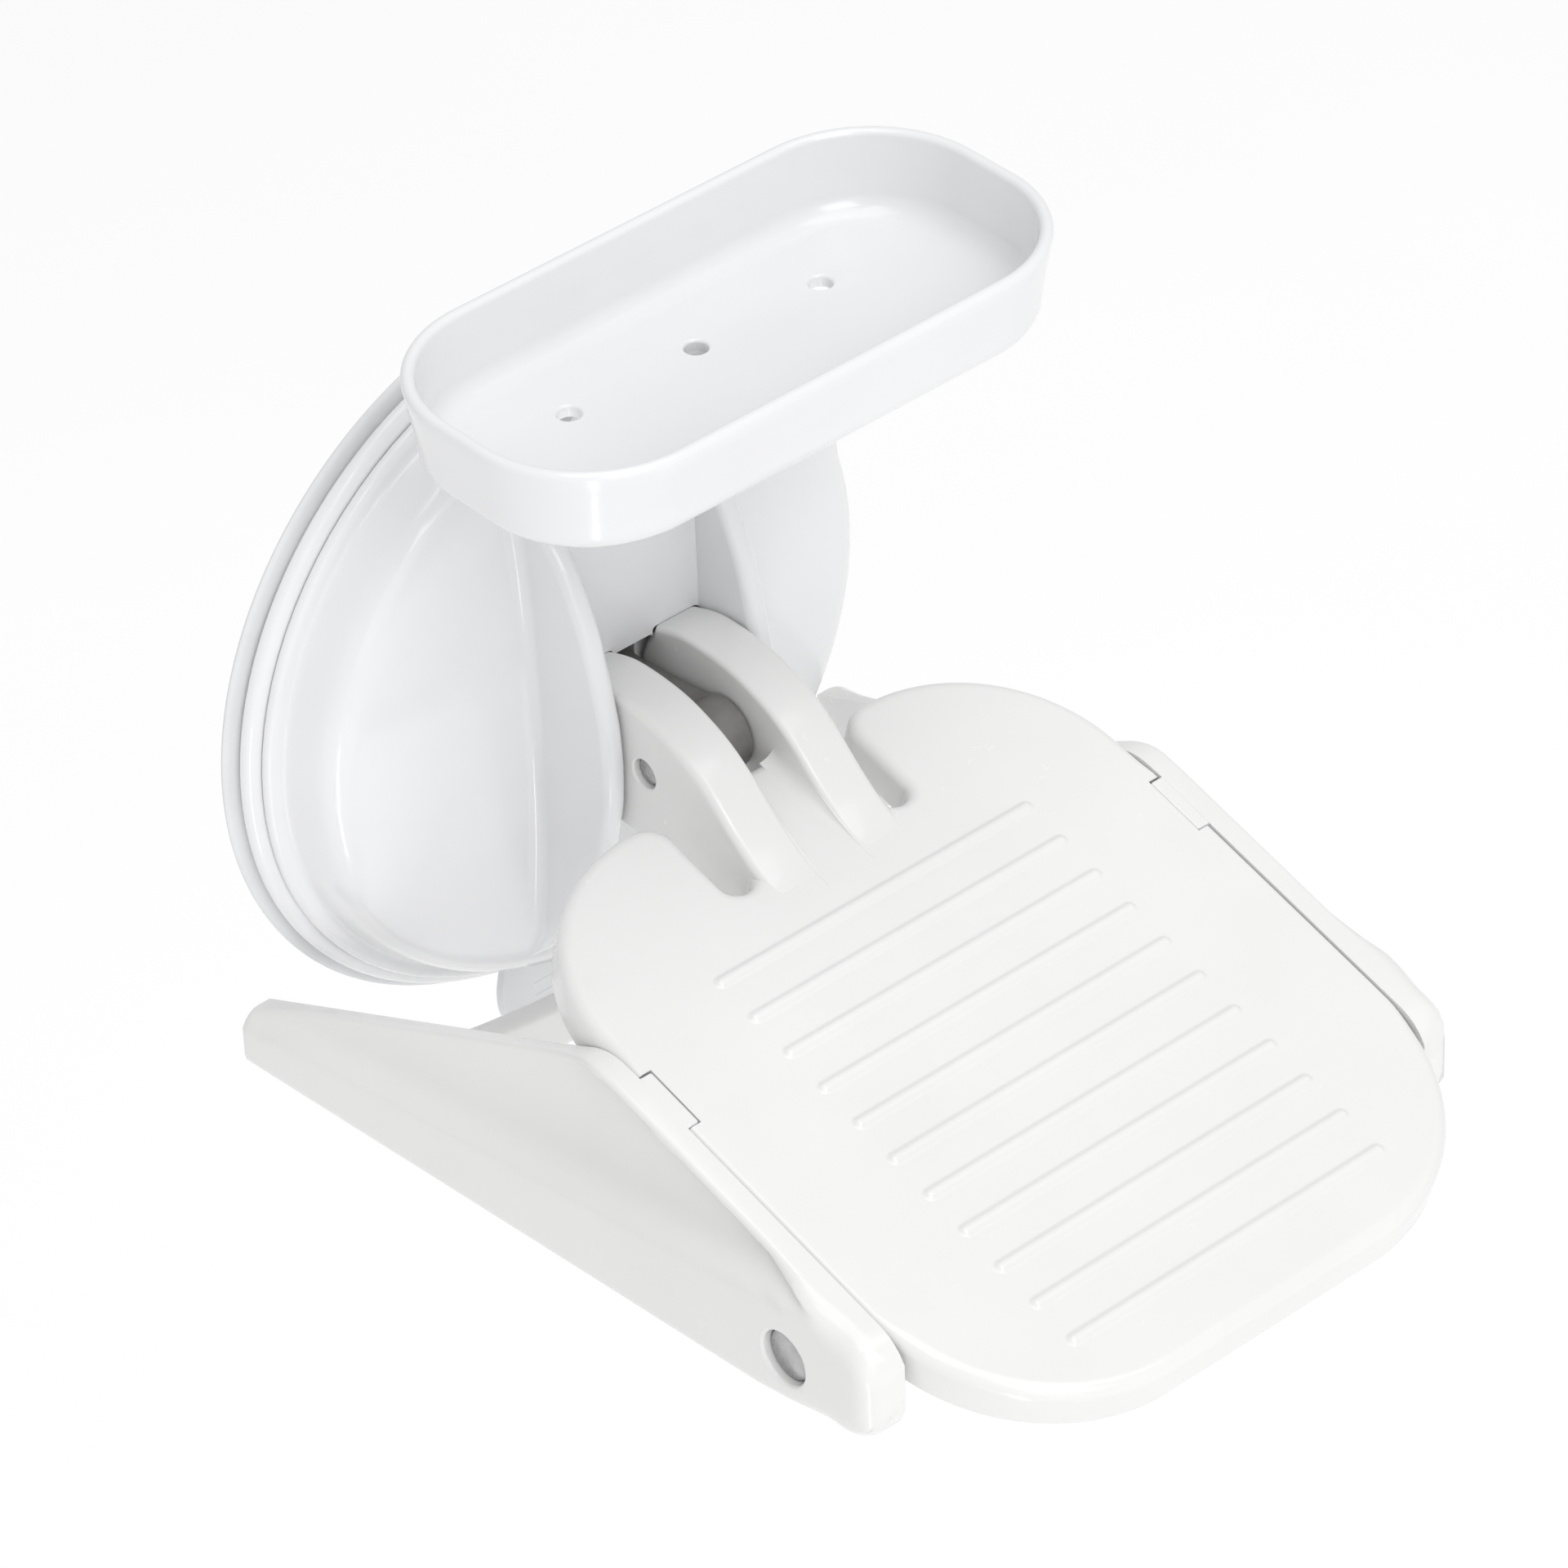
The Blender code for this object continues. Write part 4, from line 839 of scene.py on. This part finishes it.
def make_ribs(material):
    """Raised ribs with soft feet, as low mounds along a line."""
    skin = Skin()
    for i in range(RIB_COUNT):
        s = i * RIB_SPACING
        loops = []
        for share in (1.0, 0.92, 0.84, 0.76, 0.68, 0.6, 0.5, 0.4, 0.3, 0.18, 0.06):
            height = RIB_HEIGHT * (1 - smoothstep(0.12, 1.0, share)) - 0.012
            radius = RIB_HALF_WIDTH * share
            loops.append([plate_place(a, b, height) for a, b in rib_loop(s, radius)])
        below = [plate_place(a, b, -0.3) for a, b in rib_loop(s, RIB_HALF_WIDTH)]
        skin.loops([below] + loops)
    finish_piece(skin.object("foot_plate_ribs", 60), material, "foot_plate", "warm_white_plastic")


EAR_TOP = [(17.9, 10.35), (13.6, 11.8), (9.6, 12.4), (3.0, 12.2), (-3.0, 11.1), (-10.0, 8.3), (-15.4, 4.6)]
EAR_TOP += [(-20.6, -0.2), (-25.0, -3.75), (-28.6, -5.85), (-31.6, -7.15), (-34.5, -8.4)]


def ear_outline():
    """The side of an ear as (y, z). Its tail is an involute that drops 3.4 mm of reach per radian."""
    tail = []
    for i in range(13):
        angle = math.radians(36) * i / 12
        reach = TAIL_REACH - INVOLUTE_BASE * angle
        along = reach * math.cos(angle) + INVOLUTE_BASE * math.sin(angle)
        tail.append((along, reach * math.sin(angle) - INVOLUTE_BASE * math.cos(angle)))
    under = [(-34.5, -14.6), (-30.0, -17.4), (-22.0, -17.0), (-12.0, -14.2), (6.0, -13.4), (16.0, -12.9),
             (20.6, -9.6)]
    points = tail + smooth_curve(EAR_TOP, 6) + under
    return [(y - HINGE_DEPTH, z) for y, z in soften(points, 0.9, threshold=18)]


def make_ears(material):
    for side, name in ((-1, "left"), (1, "right")):
        skin = Skin()
        ends = (-EAR_OUTER - 0.04, -EAR_INNER) if side < 0 else (EAR_INNER, EAR_OUTER + 0.04)
        rounds = (1.5, 1.1) if side < 0 else (1.1, 1.5)
        rounded_slab(skin, ear_outline(), *ends, *rounds, along_x, steps=6)
        ear = skin.object(f"plate_ear_{name}")
        low, high = (-16.0, -3.0) if side < 0 else (3.0, 16.0)
        tools = [rounded_rod("ear_bore", PIN_BORE, low, high, "X", (-HINGE_DEPTH, 0.0))]
        mouth = side * EAR_OUTER
        tools.append(flared_cutter("ear_mouth", PIN_BORE, mouth, 0.35, side * 11.0, "X", (-HINGE_DEPTH, 0.0)))
        apply_cut(ear, *tools)
        finish_piece(ear, material, "foot_plate", "warm_white_plastic")
    top = [(y - HINGE_DEPTH, z) for y, z in smooth_curve(EAR_TOP, 6)]
    skin = Skin()
    for side in (-1, 1):
        loops = []
        for i in range(25):
            s = WEB_BACK + 0.4 + (-6.0 - WEB_BACK) * i / 24
            y, _ = plate_side(s, 0.0)
            above = table_value([(a, b) for a, b in reversed(top)], y) - plate_top(y)
            radius = max(0.05, min(2.4, 0.6 * above))
            corner = (EAR_INNER - radius, radius)
            curve = arc(corner, radius, 270, 360, 8)
            closing = [(EAR_INNER + 0.8, radius), (EAR_INNER + 0.8, -0.4), (EAR_INNER - radius, -0.4)]
            loops.append([plate_place(side * x, s, n) for x, n in curve + closing])
        skin.loops(loops)
    finish_piece(skin.object("plate_ear_fillets"), material, "foot_plate", "warm_white_plastic")


def make_underside(material):
    """Stiffening spines under the deck, and the lugs that take the brace's pins."""
    skin = Skin()
    for x in (-26.0, 0.0, 26.0):
        left, right, end = x - 1.2, x + 1.2, PLATE_FRONT - 3.0
        outline = [(left, -12.0), (right, -12.0), (right, end), (left, end)]
        rounded_slab(skin, outline, -PLATE_THICK + 0.6, -2.5, 0.3, 0.05, plate_place, steps=3, rest=0.05)
    finish_piece(skin.object("plate_spines"), material, "foot_plate", "warm_white_plastic")
    y, z = plate_side(PIN_S, PIN_N)
    for side, name in ((-1, "left"), (1, "right")):
        lug = Skin()
        steps = 40
        outline = [(PIN_S + 6.3 * math.cos(math.radians(a)), PIN_N + 6.3 * math.sin(math.radians(a)))
                   for a in [180 + 180 * i / steps for i in range(steps + 1)]]
        outline += [(PIN_S + 6.3, -2.5), (PIN_S - 6.3, -2.5)]
        ends = sorted((side * 48.0, side * 55.0))
        rounded_slab(lug, outline, *ends, 0.6, 0.6, lambda s, n, level: plate_place(level, s, n), steps=4)
        obj = lug.object(f"plate_lug_{name}")
        ends = sorted((side * 44.0, side * 58.0))
        apply_cut(obj, rounded_rod("lug_bore", PIN_BORE, *ends, "X", (y, z)))
        finish_piece(obj, material, "foot_plate", "warm_white_plastic")


# Brace

NOSE_END_Y = plate_side(NOSE_FRONT, -11.0)[0]
# Where the rows of a wing's face lie, as shares of the band below the fold and of the panel above it
BAND_ROWS = (0.0, 0.006, 0.03, 0.07, 0.13, 0.22, 0.34, 0.48, 0.6, 0.7, 0.78, 0.86, 0.93, 1.0)
PANEL_ROWS = (0.05, 0.1, 0.16, 0.23, 0.31, 0.4, 0.5, 0.6, 0.69, 0.76)
PANEL_ROWS += (0.8, 0.83, 0.86, 0.89, 0.92, 0.95, 0.97, 0.985, 0.995, 1.0)


def wing_side():
    """The wing's side view: rows of (y, lowest z, highest z) from the wall to the nose."""
    low = (NOSE_FRONT - 7.0, -NOSE_DEPTH + 7.0)
    high = (NOSE_FRONT - 9.0, -9.0)
    tip = arc(low, 7.0, -90, 0, 24) + arc(high, 9.0, 0, 90, 30)
    tip = [plate_side(s, n) for s, n in tip]
    front = min(range(len(tip)), key=lambda i: tip[i][0])
    bottom = [(-0.4, -53.5)] + tip[: front + 1]
    shoulder = [plate_side(s, n) for s, n in ((-4.6, -4.6), (-2.4, -2.6), (0.4, -1.0), (3.6, -0.15),
                                              (8.0, 0.0))]
    top = [(-0.4, -44.3)] + smooth_curve(shoulder, 6) + tip[front:][::-1]
    return [(-y, z) for y, z in bottom], [(-y, z) for y, z in top]


def wing_outer(y):
    share = min(1.0, -y / 145.0)
    return WING_OUTER_REAR + (WING_OUTER_FRONT - WING_OUTER_REAR) * share


def wing_inner(y):
    share = min(1.0, -y / 79.0)
    return WING_INNER_REAR + (WING_INNER - WING_INNER_REAR) * share


def soft_ramp(value, width):
    """Zero below nought and the value itself above it, with a rounded turn of the given width."""
    if value <= -width:
        return 0.0
    if value >= width:
        return value
    return (value + width) ** 2 / (4 * width)


def wing_face(y, z, high):
    """How far out the wing's outer face is: a band, and above the fold a panel sunk behind a top flange."""
    band = wing_outer(y)
    past = z - (FOLD_REAR + FOLD_RISE * -y)
    span = max(4.5, high - FLANGE_HEIGHT - z + past)
    flange_on = smoothstep(70.0, 84.0, -y)
    edge = FLANGE_OUTER * flange_on + (wing_inner(y) + 3.6) * (1 - flange_on)
    lean = min(1.0, soft_ramp(past, 1.6) / span)
    face = band - (band - edge) * lean
    sunk = face - (wing_inner(y) + PANEL_WALL)
    clear = smoothstep(0.0, 1.2, high - FLANGE_HEIGHT - z) * flange_on + 1 - flange_on
    return face - max(0.0, sunk) * clear * (1 - math.exp(-soft_ramp(past, 1.6) / 3.2))


def make_wing(skin, side):
    bottom, top = wing_side()
    stations = [0.4, 0.55, 0.9, 1.5, 2.4] + [4.0 + 5.3 * i for i in range(13)]
    stations += [70.5 + 1.6 * i for i in range(10)] + [88.0 + 5.0 * i for i in range(8)]
    near_tip = -NOSE_END_Y
    stations += [near_tip - 19.0 * math.cos(math.pi / 2 * i / 26) for i in range(27)]
    stations[-1] = near_tip - 0.004
    loops = []
    for depth in stations:
        y = -depth
        low, high = table_value(bottom, depth), table_value(top, depth)
        height = high - low
        rear = max(0.0, 1.0 - (depth - 0.4) / 1.6)
        edge = 1.5 + 3.0 * smoothstep(124.0, 141.0, depth)
        top_edge = 0.9 + 3.6 * smoothstep(128.0, 141.0, depth)
        tip_gap = near_tip - depth
        outer = []
        fold = min(high - 0.3 * height, max(low + 0.3 * height, FOLD_REAR + FOLD_RISE * depth))
        zs = [low + (fold - low) * f for f in BAND_ROWS] + [fold + (high - fold) * f for f in PANEL_ROWS]
        inner_x = wing_inner(y)
        for z in zs:
            face = wing_face(y, z, high)
            for gap, radius in ((min(z - low, tip_gap * 1.1), edge), (high - z, top_edge)):
                if gap < radius:
                    face -= radius - math.sqrt(max(0.0, radius**2 - (radius - gap) ** 2))
            if rear > 0:
                face -= 1.4 * (1 - math.sqrt(max(0.0, 1 - rear**2)))
            outer.append((max(face, inner_x + 0.6), y, z))
        inner = [(inner_x, y, z) for z in reversed(zs)]
        loops.append([(side * x, yy, z) for x, yy, z in outer + inner])
    skin.loops(loops)


def make_brace(material):
    y, z = plate_side(PIN_S, PIN_N)
    for side, name in ((-1, "left"), (1, "right")):
        skin = Skin()
        make_wing(skin, side)
        wing = skin.object(f"brace_wing_{name}", 50)
        face = side * wing_outer(y)
        tools = [flared_cutter("counterbore", 4.75, face, 0.7, side * 59.1, "X", (y, z))]
        ends = sorted((side * 54.0, side * 60.0))
        tools.append(rounded_rod("wing_bore", PIN_BORE, *ends, "X", (y, z)))
        apply_cut(wing, *tools, sharp=50)
        if side < 0:
            finish_piece(wing, material, "brace", "warm_white_plastic", "brace")
        else:
            finish_piece(wing, material, "brace", "warm_white_plastic")
    catch = Skin()
    for side in (-1, 1):
        a, b = sorted((side * 52.75, side * 55.6))
        outline = soften([(a, 7.25), (b, 7.25), (b, 18.75), (a, 18.75)], 0.5)
        rounded_slab(catch, outline, -3.1, -0.03, 0.25, 0.35, plate_place, steps=4, rest=0.1)
    finish_piece(catch.object("brace_catches"), material, "brace", "warm_white_plastic")
    steps = 40
    shares = [-1 + 2 * i / steps for i in range(steps + 1)]
    outline = [(share * 60.6, -57.2 + 9.6 * share**2) for share in shares]
    outline += [(share * 60.6, -66.5 + 14.5 * share**2) for share in reversed(shares)]
    cross = Skin()
    rounded_slab(cross, outline, -22.6, -18.2, 1.2, 1.2, along_y, rest=0.3)
    finish_piece(cross.object("brace_cross_panel"), material, "brace", "warm_white_plastic")


# Stage


def make_stage():
    floor_z = -0.8
    mesh = bpy.data.meshes.new("floor")
    work = bmesh.new()
    bmesh.ops.create_grid(work, x_segments=24, y_segments=24, size=9.0)
    work.to_mesh(mesh)
    work.free()
    floor = bpy.data.objects.new("floor", mesh)
    floor.location.z = floor_z
    mesh.materials.append(make_floor_paint())
    bpy.context.scene.collection.objects.link(floor)

    world = bpy.data.worlds.new("studio")
    bpy.context.scene.world = world
    world.use_nodes = True
    background = world.node_tree.nodes["Background"]
    background.inputs["Color"].default_value = (1.0, 1.0, 1.0, 1.0)
    background.inputs["Strength"].default_value = 0.69

    middle = Vector((0.0, -0.08, 0.0))
    for name, azimuth, elevation, distance, width, height, energy in (
        ("top", 20.0, 78.0, 6.0, 5.0, 5.0, 118.0),
        ("key", -12.0, 38.0, 6.0, 3.0, 3.0, 88.0),
        ("fill", -25.0, 8.0, 3.0, 1.5, 1.5, 5.0),
        ("glint", -58.0, 62.0, 2.0, 0.5, 0.5, 1.5),
        ("strip", -43.0, -36.0, 0.95, 0.05, 0.5, 0.6),
    ):
        data = bpy.data.lights.new(name, "AREA")
        data.shape = "RECTANGLE"
        data.size = width
        data.size_y = height
        data.energy = energy
        light = bpy.data.objects.new(name, data)
        a, e = math.radians(azimuth), math.radians(elevation)
        away = Vector((math.sin(a) * math.cos(e), -math.cos(a) * math.cos(e), math.sin(e)))
        light.location = middle + away * distance
        light.rotation_mode = "QUATERNION"
        light.rotation_quaternion = (-away).to_track_quat("-Z", "Y")
        light.visible_camera = False
        bpy.context.scene.collection.objects.link(light)


def make_camera():
    azimuth, elevation, roll = math.radians(-40.407), math.radians(37.012), math.radians(-2.154)
    right = Vector((math.cos(azimuth), math.sin(azimuth), 0.0))
    level = math.cos(elevation)
    back = Vector((math.sin(azimuth) * level, -math.cos(azimuth) * level, math.sin(elevation)))
    up = back.cross(right)
    rolled_right = right * math.cos(roll) + up * math.sin(roll)
    rolled_up = up * math.cos(roll) - right * math.sin(roll)
    data = bpy.data.cameras.new("camera")
    data.sensor_width = 36.0
    data.lens = 186.3
    data.clip_start, data.clip_end = 0.05, 60.0
    camera = bpy.data.objects.new("camera", data)
    place = back * 1.3142 + rolled_right * 0.04032 - rolled_up * 0.02575
    turn = Matrix((rolled_right, rolled_up, back)).transposed().to_4x4()
    camera.matrix_world = Matrix.Translation(place) @ turn
    bpy.context.scene.collection.objects.link(camera)
    bpy.context.scene.camera = camera
    bpy.context.scene.view_settings.view_transform = "Standard"


cool_white = make_gloss_plastic("cool_white_plastic_look", (0.765, 0.77, 0.78), (0.785, 0.79, 0.80), 0.17)
warm_white = make_gloss_plastic("warm_white_plastic_look", (0.762, 0.76, 0.754), (0.782, 0.78, 0.774), 0.22)
rubber = make_rubber()
nylon = make_nylon()
steel = make_steel()

make_stage()
make_camera()
make_pad(rubber)
make_ring(cool_white)
make_dome(cool_white)
make_dish(cool_white)
make_bracket(cool_white)
make_screws(steel)
make_stud(nylon)
make_pins(steel)
make_plate(warm_white)
make_ribs(warm_white)
make_ears(warm_white)
make_underside(warm_white)
make_brace(warm_white)

for index in range(4):
    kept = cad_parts[f"ring_screw_{index + 1}"]
    for material_slot in kept.material_slots:
        material_slot.material = steel
